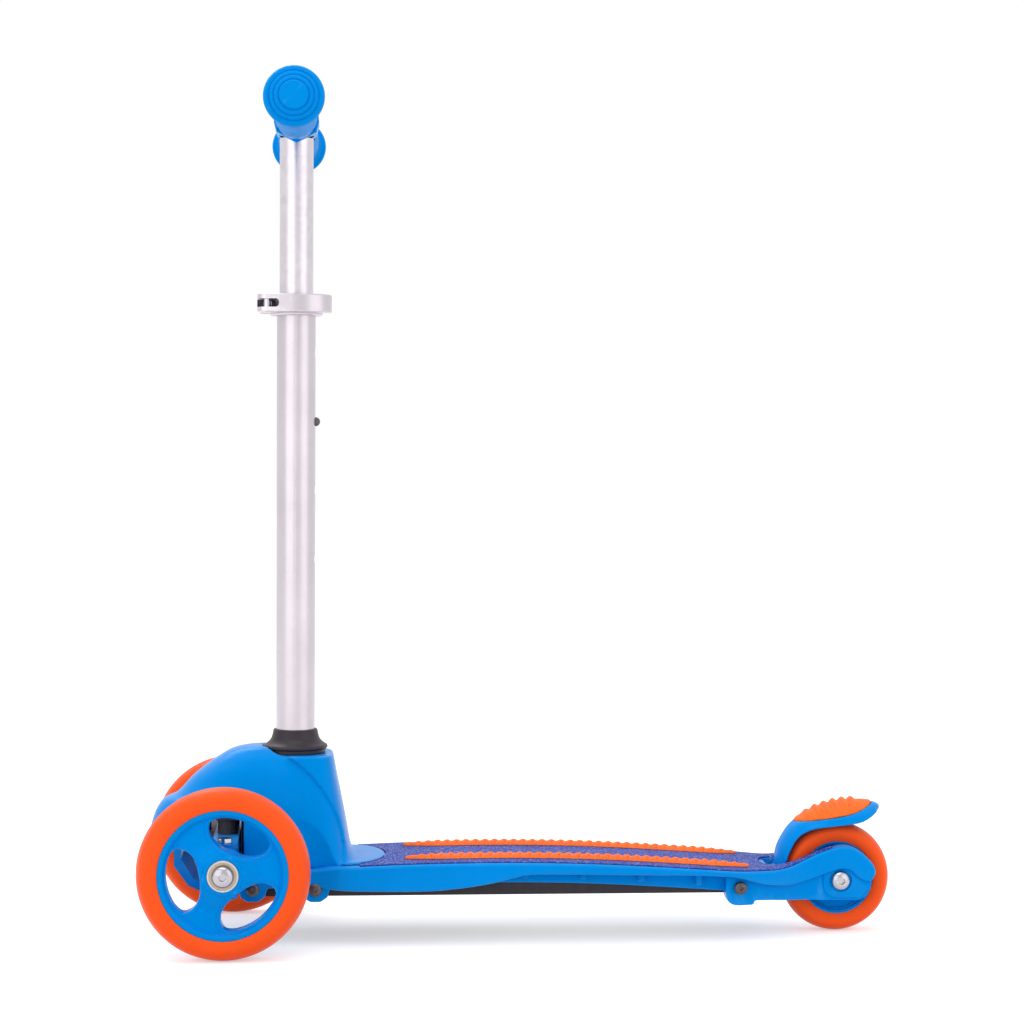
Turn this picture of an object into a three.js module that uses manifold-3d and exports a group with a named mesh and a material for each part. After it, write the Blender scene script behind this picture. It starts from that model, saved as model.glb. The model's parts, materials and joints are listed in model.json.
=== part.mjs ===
// Three wheel kids scooter that steers by leaning, in millimetres.
// x points forward, y to the rider's left and z up from the ground.
// Every place is measured from the centre line below the front wheels' axle,
// and the finished group is shifted so that its origin is the middle of its footprint.
import * as THREE from 'three';
import { mergeVertices } from 'three/addons/utils/BufferGeometryUtils.js';
import Module from 'manifold-3d';

const wasm = await Module();
wasm.setup();

// Clearances shared by all pieces
const fit = 0.3;
const runningGap = 1;
const overrun = 6;
const weldDistance = 0.0001;
const flatness = 0.03;

// How many flat sides the round shapes are drawn with
const tyreSides = 36;
const wheelSides = 24;
const tubeSides = 24;
const bossSides = 16;
const boltSides = 12;
const hexSides = 6;
const padRibSides = 8;

// Overall layout
const wheelBase = 445;
const halfTrack = 92;
const columnSetBack = 48;
const handlebarHeight = 588.5;
const handlebarWidth = 290;

// Wheels
const frontWheelDiameter = 120;
const rearWheelDiameter = 80;
const tyreWidth = 24;
const frontRimDiameter = 91;
const rearRimDiameter = 58;
const rimLip = 4.5;
const rimWidth = 20;
const hubWebThickness = 13;
const hubBossDiameter = 31;
const hubBossWidth = 23;
const windowCount = 3;
const windowSteps = 24;
const tyreShoulderShare = 0.3;
const tyreSeatShare = 0.36;
const windowTurnDegrees = 112.5;
const windowShares = [
  [0.39, 0], [0.43, 21], [0.53, 34.5], [0.67, 40.5], [0.82, 39.5], [0.935, 33.5], [0.97, 18],
  [0.97, 0], [0.97, -18], [0.935, -33.5], [0.82, -39.5], [0.67, -40.5], [0.53, -34.5], [0.43, -21],
];

// Ball bearings and axle bolts
const bearingDiameter = 22;
const bearingWidth = 7;
const axleDiameter = 8;
const bearingSpacerDiameter = 12;
const axleHeadDiameter = 14;
const axleHeadHeight = 5.5;
const socketAcrossFlats = 5;
const socketDepth = 2.6;
const domeRimShare = 0.3;
const axleNutAcrossFlats = 13;
const axleNutHeight = 6;

// Front axle, knuckles and steering link
const kingpinInset = 26;
const kingpinDiameter = 6;
const kingpinHeadDiameter = 10;
const kingpinHeadHeight = 3;
const barrelDiameter = 16;
const barrelBottom = 44;
const barrelTop = 73;
const stubDiameter = 15;
const steeringArm = 15;
const armThickness = 5;
const armWidth = 10;
const linkPinDiameter = 4.8;
const linkPlay = 1;
const tieRodThickness = 3;
const tieRodWidth = 10.4;
const carrierRear = 8.5;
const carrierFront = 36;
const carrierBottom = 38.5;
const carrierTop = 77.4;
const carrierHalfWidth = 57.5;
const carrierWall = 5;
const lugRadius = 8.5;
const carrierFloorShares = [[0.22, 0], [0.72, 0.19], [1, 0.55]];

// Lean pivot, tube socket and bumpers
const leanPivotHeight = 55;
const leanPivotDiameter = 10;
const leanPivotHeadDiameter = 14;
const leanPivotHeadHeight = 5;
const socketWall = 4.7;
const socketTop = 122;
const socketFloor = 10;
const pivotBlockHalfWidth = 16;
const pivotBlockRear = 31;
const socketArmBottom = 88;
const socketArmThickness = 6;
const socketArmHalfWidth = 9;
const socketWingHalfSpan = 31;
const bumperOffset = 22;
const bumperDiameter = 14;
const drivePinDiameter = 4.8;
const drivePinHeadDiameter = 9;
const drivePinHeadHeight = 2.5;
const tubeBoltHeight = 98;
const tubeBoltDiameter = 5;
const tubeBoltHeadDiameter = 10;
const tubeBoltHeadHeight = 3;

// Underframe channel and cross bolts
const channelHalfWidth = 30;
const channelBottom = 33;
const channelHeight = 14.5;
const channelWall = 2;
const channelFront = 12;
const crossBoltDiameter = 6;
const crossBoltHeadDiameter = 9.4;
const crossBoltHeadHeight = 3;
const crossHeadShares = [[0, 1], [0.7, 0.85], [1, 0.3], [1, 0]];
const frontBoltSetBack = 18.5;
const middleBoltSetBack = 63;
const rearBoltAhead = 77;
const frontBoltHeight = 40.4;
const middleBoltHeight = 40;
const rearBoltHeight = 38.7;

// Deck
const deckFront = 80.5;
const deckCrown = 59;
const deckHalfWidth = 52;
const deckSkin = 4.5;
const deckWall = 3.6;
const webHalfWidth = 34.6;
const webDepth = 15;
const baseTop = 53.7;
const baseBottom = 41;
const baseHalfWidth = 44;
const baseFront = 9.5;
const lugOuterRadius = 9;
const rearLugRadius = 12;
const forkReach = 26;
const forkHalfWidth = 26;
const forkLowerHalfWidth = 22.5;
const forkHollow = 14.6;
const forkRootAhead = 50;
const wheelSlotHalfWidth = 15.3;
const slotFrontAhead = 52;
const ribThickness = 2;
const ribCount = 4;
const ribStartShare = 0.42;
const ribSpanShare = 0.4;
const taperStartShare = 0.778;
const taperLengthShare = 0.187;
const forkLowerTopShare = 0.82;
const deckTopShares = [
  [0, 0.966], [0.05, 0.968], [0.14, 0.985], [0.26, 0.997], [0.38, 1], [0.48, 0.992],
  [0.57, 0.977], [0.65, 0.957], [0.73, 0.932], [0.79, 0.911], [0.84, 0.893],
  [0.89, 0.873], [0.935, 0.858], [1, 0.848],
];
const bandBottomShares = [
  [0, 0.678], [0.1, 0.664], [0.202, 0.666], [0.28, 0.702], [0.345, 0.756], [0.39, 0.815],
  [0.431, 0.855], [0.5, 0.857], [0.587, 0.848], [0.7, 0.838], [0.8, 0.828], [0.886, 0.797],
];
const forkTopShares = [
  [-1.346, 0.44], [-0.96, 0.558], [-0.5, 0.75], [-0.154, 0.88], [0.154, 0.923],
  [0.5, 0.77], [0.8, 0.56], [0.97, 0.3], [1, 0.12], [0.86, 0.04],
];
const forkHoodShares = [
  [0.7, 0.14], [0.46, 0.3], [0.2, 0.46], [-0.04, 0.52], [-0.35, 0.46],
  [-0.885, 0.31], [-1.35, 0.14], [-1.75, 0.06], [-2.15, 0.04], [-2.6, 0.1],
];
const forkLowerShares = [
  [-3.38, -0.558], [0.54, -0.558], [0.76, -0.42], [0.9, -0.2], [0.92, 0], [0.8, 0.1], [0.3, 0.3],
];
const bandPlanShares = [
  [0, 0], [0.2, 0.06], [0.38, 0.22], [0.55, 0.45], [0.72, 0.72], [0.86, 0.92], [1, 1],
];

// Grip sheet and tread strips
const sheetThickness = 0.9;
const sheetInset = 3;
const tongueReach = 27;
const tongueHalfWidth = 41;
const tongueThickness = 1.6;
const treadOffset = 30;
const treadWidth = 15;
const treadThickness = 2.4;
const treadStartBack = 127;
const treadEndAhead = 71;
const treadPointLength = 30;
const treadShoulderShare = 0.6;

// Front housing
const housingWall = 3;
const housingTop = 140;
const platformHeight = 133;
const hoodLipHeight = 72;
const noseReach = 57;
const hoodHalfWidth = 40;
const hoodRear = 85;
const hoodMiddle = 30;
const fairingHalfWidth = 51;
const fairingRear = 93;
const fairingMiddle = 60;
const fairingFront = 30;
const archRadius = 83;
const openingRear = 12;
const openingFront = 38;
const openingTop = 98;
const openingCorner = 9;
const shellSteps = 32;
const innerSteps = 16;
const archSides = 48;
const hoodCornerShare = 0.77;
const fairingCornerShare = 0.59;
const hoodSliceShares = [
  [0, 0.88, 0.99, 1], [0.21, 1, 0.985, 1], [0.4, 0.945, 0.95, 0.972], [0.5, 0.87, 0.93, 0.94],
  [0.55, 0.79, 0.918, 0.915], [0.59, 0.65, 0.91, 0.89], [0.72, 0.468, 0.88, 0.8],
  [0.8, 0.325, 0.862, 0.73], [0.87, 0.165, 0.848, 0.637], [0.935, -0.01, 0.834, 0.52], [1, -0.34, 0.78, 0.26],
];
const fairingSliceShares = [
  [0, 1.09, 1.02], [0.035, 1.03, 0.985], [0.08, 0.975, 0.94], [0.15, 0.948, 0.885], [0.25, 0.93, 0.83],
  [0.36, 0.912, 0.775], [0.48, 0.89, 0.715], [0.6, 0.868, 0.645], [0.72, 0.845, 0.575],
  [0.83, 0.826, 0.52], [0.92, 0.81, 0.48],
];

// Column: lower tube, collar and clamp
const lowerTubeDiameter = 28;
const lowerTubeWall = 1.2;
const clampTop = 464;
const clampHeight = 14.6;
const clampLip = 1.6;
const clampBottom = clampTop - clampHeight;
const lowerTubeTop = clampTop - runningGap;
const baseCollarHeight = 18.5;
const baseCollarFoot = 45.6;
const baseCollarNeck = 31;
const baseCollarShares = [
  [0.93, 0], [1, 0.08], [1, 0.22], [0.72, 0.34], [0.38, 0.55], [0.14, 0.78], [0.1, 0.9], [0, 1],
];
const clampDiameter = 38;
const clampSlit = 3;
const clampEarReach = 12;
const clampEarThickness = 8;
const clampBoltDiameter = 5;
const clampBoltHeadDiameter = 8.5;
const clampBoltHeadHeight = 3;
const leverBottom = clampBottom + clampLip;
const leverTop = clampTop + fit;
const leverThickness = 5;
const leverRearSweep = 3.4;
const leverCamRadius = 7;
const leverSlotHeight = 5.4;
const leverSlotReach = 22;
const leverStartDegrees = 38;
const leverEndDegrees = 160;
const leverSteps = 12;
const leverPinDiameter = 5;

// Handlebar
const upperTubeDiameter = 24.3;
const upperTubeWall = 1.4;
const upperTubeBelowButton = 48;
const holePitch = 50;
const holeCount = 4;
const holeDiameter = 8;
const buttonHeight = 373;
const buttonDiameter = 7;
const buttonReach = 4;
const buttonFlangeDiameter = 8.8;
const buttonFlangeThickness = 1.6;
const buttonDomeShares = [[0, 0], [0.6, 0.2], [0.92, 0.6], [1, 1]];
const guideLength = 8;
const guideLip = 3;
const leafThickness = 1;
const leafWidth = 7;
const leafLength = 26;
const crossTubeDiameter = 22;
const crossTubeSetIn = 17;
const crossTubeHalfLength = handlebarWidth / 2 - crossTubeSetIn;
const crossTubeWall = 1.6;
const teeSleeveDiameter = 33.6;
const teeSleeveDepth = 14;
const teeBossDiameter = 31;
const teeHalfWidth = 34;
const teeWaistDiameter = 29;
const gripStart = 35;
const gripDiameter = 30;
const gripEnd = handlebarWidth / 2;
const gripCapLength = 12;
const gripFlangeAt = gripEnd - gripCapLength;
const gripFlangeDiameter = 41.6;
const gripFlangeThickness = 4;
const gripEndWall = 15;
const gripBoreDepth = gripEnd - gripEndWall;
const gripEdge = 0.8;
const gripStepShares = [
  [0.92, 0.35], [0.78, 0.35], [0.78, 0.6], [0.64, 0.6], [0.64, 0.85], [0.46, 0.85], [0.43, 1],
];

// Rear brake
const brakePivotAhead = 45.5;
const brakePivotHeight = 44;
const brakePinDiameter = 3.2;
const brakePinHalfLength = 22;
const brakeBarrelDiameter = 8;
const brakeBarrelHalfWidth = 7.5;
const brakeNeckHalfWidth = 14.4;
const brakePadHalfWidth = 19;
const brakeGap = 3.6;
const brakeSideGap = 0.9;
const brakeLength = 88;
const brakeHeight = 52;
const brakePadThickness = 2.6;
const brakeRibCount = 6;
const brakeRibHeight = 1.8;
const brakePadInset = 3;
const padRibEndShare = 1.2;
const tyreRoomShare = 0.8;
const brakeNeckShare = 0.342;
const brakePlanShares = [[0.401, 0.88], [0.49, 1], [0.749, 1], [0.882, 0.86], [0.959, 0.6], [1, 0.25]];
const brakeTopShares = [
  [0.045, 0.02], [0.05, 0.2], [0.07, 0.36], [0.115, 0.51], [0.165, 0.63], [0.235, 0.73],
  [0.33, 0.81], [0.45, 0.875], [0.58, 0.925], [0.7, 0.955], [0.8, 0.965], [0.88, 0.95],
  [0.93, 0.925], [0.965, 0.865], [0.94, 0.79],
];
const brakeUnderShares = [
  [0.85, 0.7], [0.74, 0.62], [0.58, 0.57], [0.42, 0.52], [0.31, 0.42], [0.235, 0.27], [0.2, 0.13],
  [0.16, 0.02],
];
const padRangeShares = [0.29, 0.8];

// Torsion spring of the brake
const springWire = 1.2;
const springRadius = 3.2;
const springPitch = 1.75;
const springCurls = 2.75;
const springStepsPerCurl = 8;
const springSides = 5;
const springLegHeight = 11.5;
const springRestReach = 5;

// Sizes that follow from the ones above
const frontWheelRadius = frontWheelDiameter / 2;
const rearWheelRadius = rearWheelDiameter / 2;
const kingpinPlace = halfTrack - kingpinInset;
const tieRodHeight = barrelTop + tieRodThickness;
const columnRadius = lowerTubeDiameter / 2;
const socketRadius = columnRadius + fit + socketWall;
const channelTop = channelBottom + channelHeight;
const axleSpacerHalf = hubBossWidth / 2 - bearingWidth;
const upperTubeInside = upperTubeDiameter / 2 - upperTubeWall;
const upperTubeBottom = buttonHeight - upperTubeBelowButton;
const buttonSeat = Math.sqrt(upperTubeInside ** 2 - (buttonFlangeDiameter / 2) ** 2) - 2 * fit;
const rearBoltSetBack = wheelBase - rearBoltAhead;
const forkRoot = wheelBase - forkRootAhead;
const slotFront = wheelBase - slotFrontAhead;
const brakePivotBack = wheelBase - brakePivotAhead;

// Materials, in the object's own colours
const blue = new THREE.MeshStandardMaterial({ color: 0x0a8ce0, roughness: 0.35, metalness: 0 });
const orange = new THREE.MeshStandardMaterial({ color: 0xff6230, roughness: 0.5, metalness: 0 });
const padOrange = new THREE.MeshStandardMaterial({ color: 0xff7d32, roughness: 0.6, metalness: 0 });
const glitter = new THREE.MeshStandardMaterial({ color: 0x5564b9, roughness: 0.7, metalness: 0.1 });
const black = new THREE.MeshStandardMaterial({ color: 0x2c282c, roughness: 0.6, metalness: 0 });
const rubber = new THREE.MeshStandardMaterial({ color: 0x3c3238, roughness: 0.55, metalness: 0 });
const aluminium = new THREE.MeshStandardMaterial({ color: 0xd8d4da, roughness: 0.35, metalness: 0.9 });
const zinc = new THREE.MeshStandardMaterial({ color: 0xc8c8cc, roughness: 0.3, metalness: 1 });
const darkSteel = new THREE.MeshStandardMaterial({ color: 0x6e6460, roughness: 0.4, metalness: 0.9 });

// Turning three.js geometries into solids and back

function toSolid(geometry) {
  const bare = geometry.clone();
  for (const name of Object.keys(bare.attributes)) {
    if (name !== 'position') bare.deleteAttribute(name);
  }
  const merged = mergeVertices(bare, weldDistance);
  const corners = merged.index.array;
  const kept = [];
  for (let i = 0; i < corners.length; i += 3) {
    const [a, b, c] = [corners[i], corners[i + 1], corners[i + 2]];
    if (a !== b && b !== c && c !== a) kept.push(a, b, c);
  }
  return new wasm.Manifold(new wasm.Mesh({
    numProp: 3,
    vertProperties: new Float32Array(merged.attributes.position.array),
    triVerts: new Uint32Array(kept),
  }));
}

function toGeometry(solid) {
  const mesh = solid.simplify(flatness).getMesh();
  const geometry = new THREE.BufferGeometry();
  geometry.setAttribute('position', new THREE.BufferAttribute(new Float32Array(mesh.vertProperties), 3));
  geometry.setIndex(new THREE.BufferAttribute(new Uint32Array(mesh.triVerts), 1));
  geometry.computeVertexNormals();
  return geometry;
}

function addPiece(parent, name, solid, material) {
  const mesh = new THREE.Mesh(toGeometry(solid), material.clone());
  mesh.name = name;
  parent.add(mesh);
  return mesh;
}

function joined(solids) {
  return solids.reduce((whole, next) => whole.add(next));
}

function without(solid, cuts) {
  return cuts.reduce((rest, cut) => rest.subtract(cut), solid);
}

// Basic shapes, each named by how it lies in the scooter

function block(x0, x1, y0, y1, z0, z1) {
  const geometry = new THREE.BoxGeometry(Math.abs(x1 - x0), Math.abs(y1 - y0), Math.abs(z1 - z0));
  geometry.translate((x0 + x1) / 2, (y0 + y1) / 2, (z0 + z1) / 2);
  return toSolid(geometry);
}

function alongAxis(geometry, axis, x, y, z) {
  if (axis === 'z') geometry.rotateX(Math.PI / 2);
  if (axis === 'x') geometry.rotateZ(-Math.PI / 2);
  geometry.translate(x, y, z);
  return toSolid(geometry);
}

// A round bar from one place to another along an axis, through the point x, y, z
function bar(diameter, axis, from, to, [x, y, z], sides = boltSides) {
  const geometry = new THREE.CylinderGeometry(diameter / 2, diameter / 2, to - from, sides);
  const middle = (from + to) / 2;
  return alongAxis(
    geometry,
    axis,
    axis === 'x' ? middle : x,
    axis === 'y' ? middle : y,
    axis === 'z' ? middle : z,
  );
}

// A profile of [radius, place along the axis] pairs turned round the axis
function turned(profile, axis, [x, y, z], sides = tubeSides) {
  const closes = profile[0][0] > 0;
  const ring = closes ? [...profile, profile[0]] : profile;
  const points = ring.map(([radius, along]) => new THREE.Vector2(radius, along));
  return alongAxis(new THREE.LatheGeometry(points, sides), axis, x, y, z);
}

function sleeve(outer, inner, from, to, axis, place, sides = tubeSides) {
  const profile = [[inner / 2, from], [outer / 2, from], [outer / 2, to], [inner / 2, to]];
  return turned(profile, axis, place, sides);
}

// A side outline of [x, z] pairs given its width from y0 to y1
function fromSide(outline, y0, y1) {
  const shape = new THREE.Shape(outline.map(([x, z]) => new THREE.Vector2(x, z)));
  const geometry = new THREE.ExtrudeGeometry(shape, { depth: y1 - y0, bevelEnabled: false });
  geometry.rotateX(Math.PI / 2);
  geometry.translate(0, y1, 0);
  return toSolid(geometry);
}

// A plan outline of [x, y] pairs given its height from z0 to z1
function fromAbove(outline, z0, z1) {
  const shape = new THREE.Shape(outline.map(([x, y]) => new THREE.Vector2(x, y)));
  const geometry = new THREE.ExtrudeGeometry(shape, { depth: z1 - z0, bevelEnabled: false });
  geometry.translate(0, 0, z0);
  return toSolid(geometry);
}

function ellipseArc(x, y, reachX, reachY, fromDegrees, toDegrees, steps) {
  const points = [];
  for (let i = 0; i <= steps; i += 1) {
    const angle = THREE.MathUtils.degToRad(fromDegrees + (toDegrees - fromDegrees) * i / steps);
    points.push([x + reachX * Math.cos(angle), y + reachY * Math.sin(angle)]);
  }
  return points;
}

// Horizontal slices joined from the bottom up; a slice is a list of [x, y] pairs at height z
function stacked(slices) {
  const sides = slices[0].points.length;
  const positions = [];
  for (const { z, points } of slices) {
    for (const [x, y] of points) positions.push(x, y, z);
  }
  const faces = [];
  for (let level = 0; level < slices.length - 1; level += 1) {
    for (let side = 0; side < sides; side += 1) {
      const here = level * sides + side;
      const beside = level * sides + (side + 1) % sides;
      faces.push(here, beside, here + sides, beside, beside + sides, here + sides);
    }
  }
  for (let side = 1; side < sides - 1; side += 1) {
    const last = (slices.length - 1) * sides;
    faces.push(0, side + 1, side, last, last + side, last + side + 1);
  }
  const geometry = new THREE.BufferGeometry();
  geometry.setAttribute('position', new THREE.Float32BufferAttribute(positions, 3));
  geometry.setIndex(faces);
  return toSolid(geometry);
}

// An oval slice with a blunt front and rear, between two x places
function ovalSlice(front, rear, middle, halfWidth, cornerShare, steps) {
  const points = [];
  for (let i = 0; i < steps; i += 1) {
    const angle = 2 * Math.PI * i / steps;
    const cos = Math.cos(angle);
    const sin = Math.sin(angle);
    const reach = cos > 0 ? front - middle : middle - rear;
    const x = middle + reach * Math.sign(cos) * Math.abs(cos) ** cornerShare;
    const y = halfWidth * Math.sign(sin) * Math.abs(sin) ** cornerShare;
    points.push([x, y]);
  }
  return points;
}

function fromShares(shares, x0, dx, z0, dz) {
  return shares.map(([a, b]) => [x0 + dx * a, z0 + dz * b]);
}

// Wheels, each made about its own axle along y

function tyreSolid(diameter, seatDiameter) {
  const seat = seatDiameter / 2 + fit;
  const shoulder = seat + (diameter / 2 - seat) * tyreShoulderShare;
  const steps = 6;
  const profile = [[seat, -tyreWidth * tyreSeatShare]];
  for (let i = 0; i <= steps; i += 1) {
    const angle = Math.PI * (i / steps - 1 / 2);
    profile.push([shoulder + (diameter / 2 - shoulder) * Math.cos(angle), tyreWidth / 2 * Math.sin(angle)]);
  }
  profile.push([seat, tyreWidth * tyreSeatShare]);
  return turned(profile, 'y', [0, 0, 0], tyreSides);
}

function hubWindow(turn, reach) {
  const points = windowShares.map(([share, degrees]) => {
    const angle = THREE.MathUtils.degToRad(degrees) + turn;
    return new THREE.Vector3(share * reach * Math.cos(angle), share * reach * Math.sin(angle), 0);
  });
  const curve = new THREE.CatmullRomCurve3(points, true);
  const outline = curve.getPoints(windowSteps).slice(0, -1).map((point) => [point.x, point.y]);
  return fromSide(outline, -rimWidth, rimWidth);
}

function hubSolid(rimDiameter, windows) {
  const rim = rimDiameter / 2;
  const lip = rim - rimLip;
  const boss = hubBossDiameter / 2;
  const pocket = bearingDiameter / 2 + fit;
  const profile = [
    [pocket, -hubBossWidth / 2],
    [boss, -hubBossWidth / 2], [boss, -hubWebThickness / 2], [lip, -hubWebThickness / 2],
    [lip, -rimWidth / 2], [rim, -rimWidth / 2], [rim, rimWidth / 2], [lip, rimWidth / 2],
    [lip, hubWebThickness / 2], [boss, hubWebThickness / 2], [boss, hubBossWidth / 2],
    [pocket, hubBossWidth / 2],
  ];
  const whole = turned(profile, 'y', [0, 0, 0], wheelSides);
  const cuts = [];
  for (let i = 0; i < windows; i += 1) {
    cuts.push(hubWindow(THREE.MathUtils.degToRad(windowTurnDegrees) + 2 * Math.PI * i / windows, lip));
  }
  return without(whole, cuts);
}

function bearingSolid() {
  const bore = axleDiameter + 2 * fit;
  return sleeve(bearingDiameter, bore, -bearingWidth / 2, bearingWidth / 2, 'y', [0, 0, 0], bossSides);
}

function addWheel(parent, side, diameter, rimDiameter, windows, faces) {
  addPiece(parent, `${side}_tyre`, tyreSolid(diameter, rimDiameter), orange);
  addPiece(parent, `${side}_hub`, hubSolid(rimDiameter, windows), blue);
  const spacerHalf = axleSpacerHalf - fit;
  const bore = axleDiameter + 2 * fit;
  const spacer = sleeve(bearingSpacerDiameter, bore, -spacerHalf, spacerHalf, 'y', [0, 0, 0], boltSides);
  addPiece(parent, `${side}_bearing_spacer`, spacer, zinc);
  faces.forEach((face, i) => {
    const bearing = addPiece(parent, `${side}_${face}_bearing`, bearingSolid(), zinc);
    bearing.position.y = (i === 0 ? 1 : -1) * (axleSpacerHalf + bearingWidth / 2);
  });
}

// A domed head with a hexagonal socket, its flat face at y = 0 and its dome towards +y
function domedHead(diameter, height) {
  const steps = 3;
  const profile = [[0, 0], [diameter / 2, 0]];
  for (let i = 0; i <= steps; i += 1) {
    const angle = Math.PI / 2 * i / steps;
    const radius = i === steps ? 0 : diameter / 2 * Math.cos(angle);
    profile.push([radius, height * (domeRimShare + (1 - domeRimShare) * Math.sin(angle))]);
  }
  const socket = bar(socketAcrossFlats, 'y', height - socketDepth, height + overrun, [0, 0, 0], hexSides);
  return without(turned(profile, 'y', [0, 0, 0], bossSides), [socket]);
}

// The front axle bolt, from the knuckle out through the wheel, made about the wheel centre
function frontAxleBolt() {
  const shankFrom = -(kingpinInset - kingpinDiameter / 2 - runningGap);
  const shank = bar(axleDiameter, 'y', shankFrom, hubBossWidth / 2 + fit + fit, [0, 0, 0]);
  const head = domedHead(axleHeadDiameter, axleHeadHeight).translate([0, hubBossWidth / 2 + fit, 0]);
  return shank.add(head);
}

// Front axle: knuckles, carrier, kingpins and tie rod

function knuckleSolid(side) {
  const place = side * kingpinPlace;
  const wheelFace = side * (halfTrack - hubBossWidth / 2 - fit);
  const [near, far] = side > 0 ? [place, wheelFace] : [wheelFace, place];
  const barrel = bar(barrelDiameter, 'z', barrelBottom, barrelTop, [0, place, 0], bossSides);
  const stub = bar(stubDiameter, 'y', near, far, [0, 0, frontWheelRadius], bossSides);
  const armBottom = barrelTop - armThickness;
  const arm = block(0, steeringArm, place - armWidth / 2, place + armWidth / 2, armBottom, barrelTop);
  const armEnd = bar(armWidth, 'z', armBottom, barrelTop, [steeringArm, place, 0]);
  const pinTop = tieRodHeight + tieRodThickness;
  const pin = bar(linkPinDiameter, 'z', armBottom, pinTop, [steeringArm, place, 0]);
  const kingpinBore = bar(
    kingpinDiameter + 2 * fit, 'z', barrelBottom - overrun, barrelTop + overrun, [0, place, 0],
  );
  const axleBore = bar(
    axleDiameter + 2 * fit,
    'y',
    Math.min(place, wheelFace + side * overrun),
    Math.max(place, wheelFace + side * overrun),
    [0, 0, frontWheelRadius],
  );
  return without(joined([barrel, stub, arm, armEnd, pin]), [kingpinBore, axleBore]);
}

function carrierOutline(rear, front, bottom, top) {
  const floor = fromShares(carrierFloorShares, 0, front, bottom, top - bottom);
  return [[rear, top], [rear, bottom], ...floor, [front, top]];
}

function carrierSolid() {
  const lugEnd = kingpinPlace + lugRadius;
  const outline = carrierOutline(-carrierRear, carrierFront, carrierBottom, carrierTop);
  const beam = fromSide(outline, -carrierHalfWidth, carrierHalfWidth);
  const lugs = [];
  const cuts = [];
  for (const side of [-1, 1]) {
    const place = side * kingpinPlace;
    const lugRoot = side * (carrierHalfWidth - carrierWall);
    const [y0, y1] = side > 0 ? [lugRoot, place] : [place, lugRoot];
    lugs.push(block(-lugRadius, lugRadius, y0, y1, carrierBottom, carrierTop));
    lugs.push(bar(2 * lugRadius, 'z', carrierBottom, carrierTop, [0, place, 0], bossSides));
    const mouth = lugEnd + overrun;
    const [in0, in1] = side > 0 ? [carrierHalfWidth, mouth] : [-mouth, -carrierHalfWidth];
    const [z0, z1] = [barrelBottom - fit, barrelTop + fit];
    cuts.push(block(-carrierFront, carrierFront, in0, in1, z0, z1));
    const pinBore = kingpinDiameter + 2 * fit;
    cuts.push(bar(pinBore, 'z', carrierBottom - overrun, carrierTop + overrun, [0, place, 0]));
    const armRoom = barrelDiameter + 2 * runningGap;
    cuts.push(bar(armRoom, 'z', z0, z1, [0, place, 0], bossSides));
  }
  const pocketRear = steeringArm - tieRodWidth / 2 - fit;
  const pocketTop = carrierTop + overrun;
  const pocket = fromSide(
    [
      [pocketRear, pocketTop], [pocketRear, carrierBottom + carrierWall + fit],
      ...fromShares(
        carrierFloorShares.slice(1), 0, carrierFront - carrierWall, carrierBottom + carrierWall,
        carrierTop - carrierBottom,
      ),
      [carrierFront - carrierWall, pocketTop],
    ],
    -carrierHalfWidth - overrun,
    carrierHalfWidth + overrun,
  );
  const pivotBore = bar(
    leanPivotDiameter + 2 * fit, 'x', -carrierRear - overrun, carrierFront - carrierWall,
    [0, 0, leanPivotHeight],
  );
  return without(joined([beam, ...lugs]), [...cuts, pocket, pivotBore]);
}

function kingpinSolid(side) {
  const place = [0, side * kingpinPlace, 0];
  const head = bar(kingpinHeadDiameter, 'z', carrierTop + fit, carrierTop + fit + kingpinHeadHeight, place);
  return bar(kingpinDiameter, 'z', carrierBottom, carrierTop + fit + fit, place).add(head);
}

function tieRodSolid() {
  const [z0, z1] = [tieRodHeight - tieRodThickness / 2, tieRodHeight + tieRodThickness / 2];
  const hole = linkPinDiameter + 2 * linkPlay;
  const body = block(
    steeringArm - tieRodWidth / 2, steeringArm + tieRodWidth / 2, -kingpinPlace, kingpinPlace, z0, z1,
  );
  const parts = [body];
  const cuts = [];
  for (const place of [-kingpinPlace, 0, kingpinPlace]) {
    parts.push(bar(tieRodWidth, 'z', z0, z1, [steeringArm, place, 0]));
    cuts.push(bar(hole, 'z', z0 - overrun, z1 + overrun, [steeringArm, place, 0]));
  }
  return without(joined(parts), cuts);
}

function bumperSolid(side) {
  const place = [0, side * bumperOffset, 0];
  return bar(bumperDiameter, 'z', carrierTop + fit, socketArmBottom - fit, place, bossSides);
}

function leanPivotBolt() {
  const headFrom = steeringArm - tieRodWidth / 2;
  const shank = bar(leanPivotDiameter, 'x', -pivotBlockRear, headFrom + fit, [0, 0, leanPivotHeight]);
  const head = bar(
    leanPivotHeadDiameter, 'x', headFrom, headFrom + leanPivotHeadHeight, [0, 0, leanPivotHeight], hexSides,
  );
  return shank.add(head);
}

function drivePinSolid() {
  const top = socketArmBottom + socketArmThickness + fit;
  const shank = bar(
    drivePinDiameter, 'z', tieRodHeight - tieRodThickness, top + fit, [steeringArm, 0, 0],
  );
  return shank.add(bar(drivePinHeadDiameter, 'z', top, top + drivePinHeadHeight, [steeringArm, 0, 0]));
}

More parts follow.
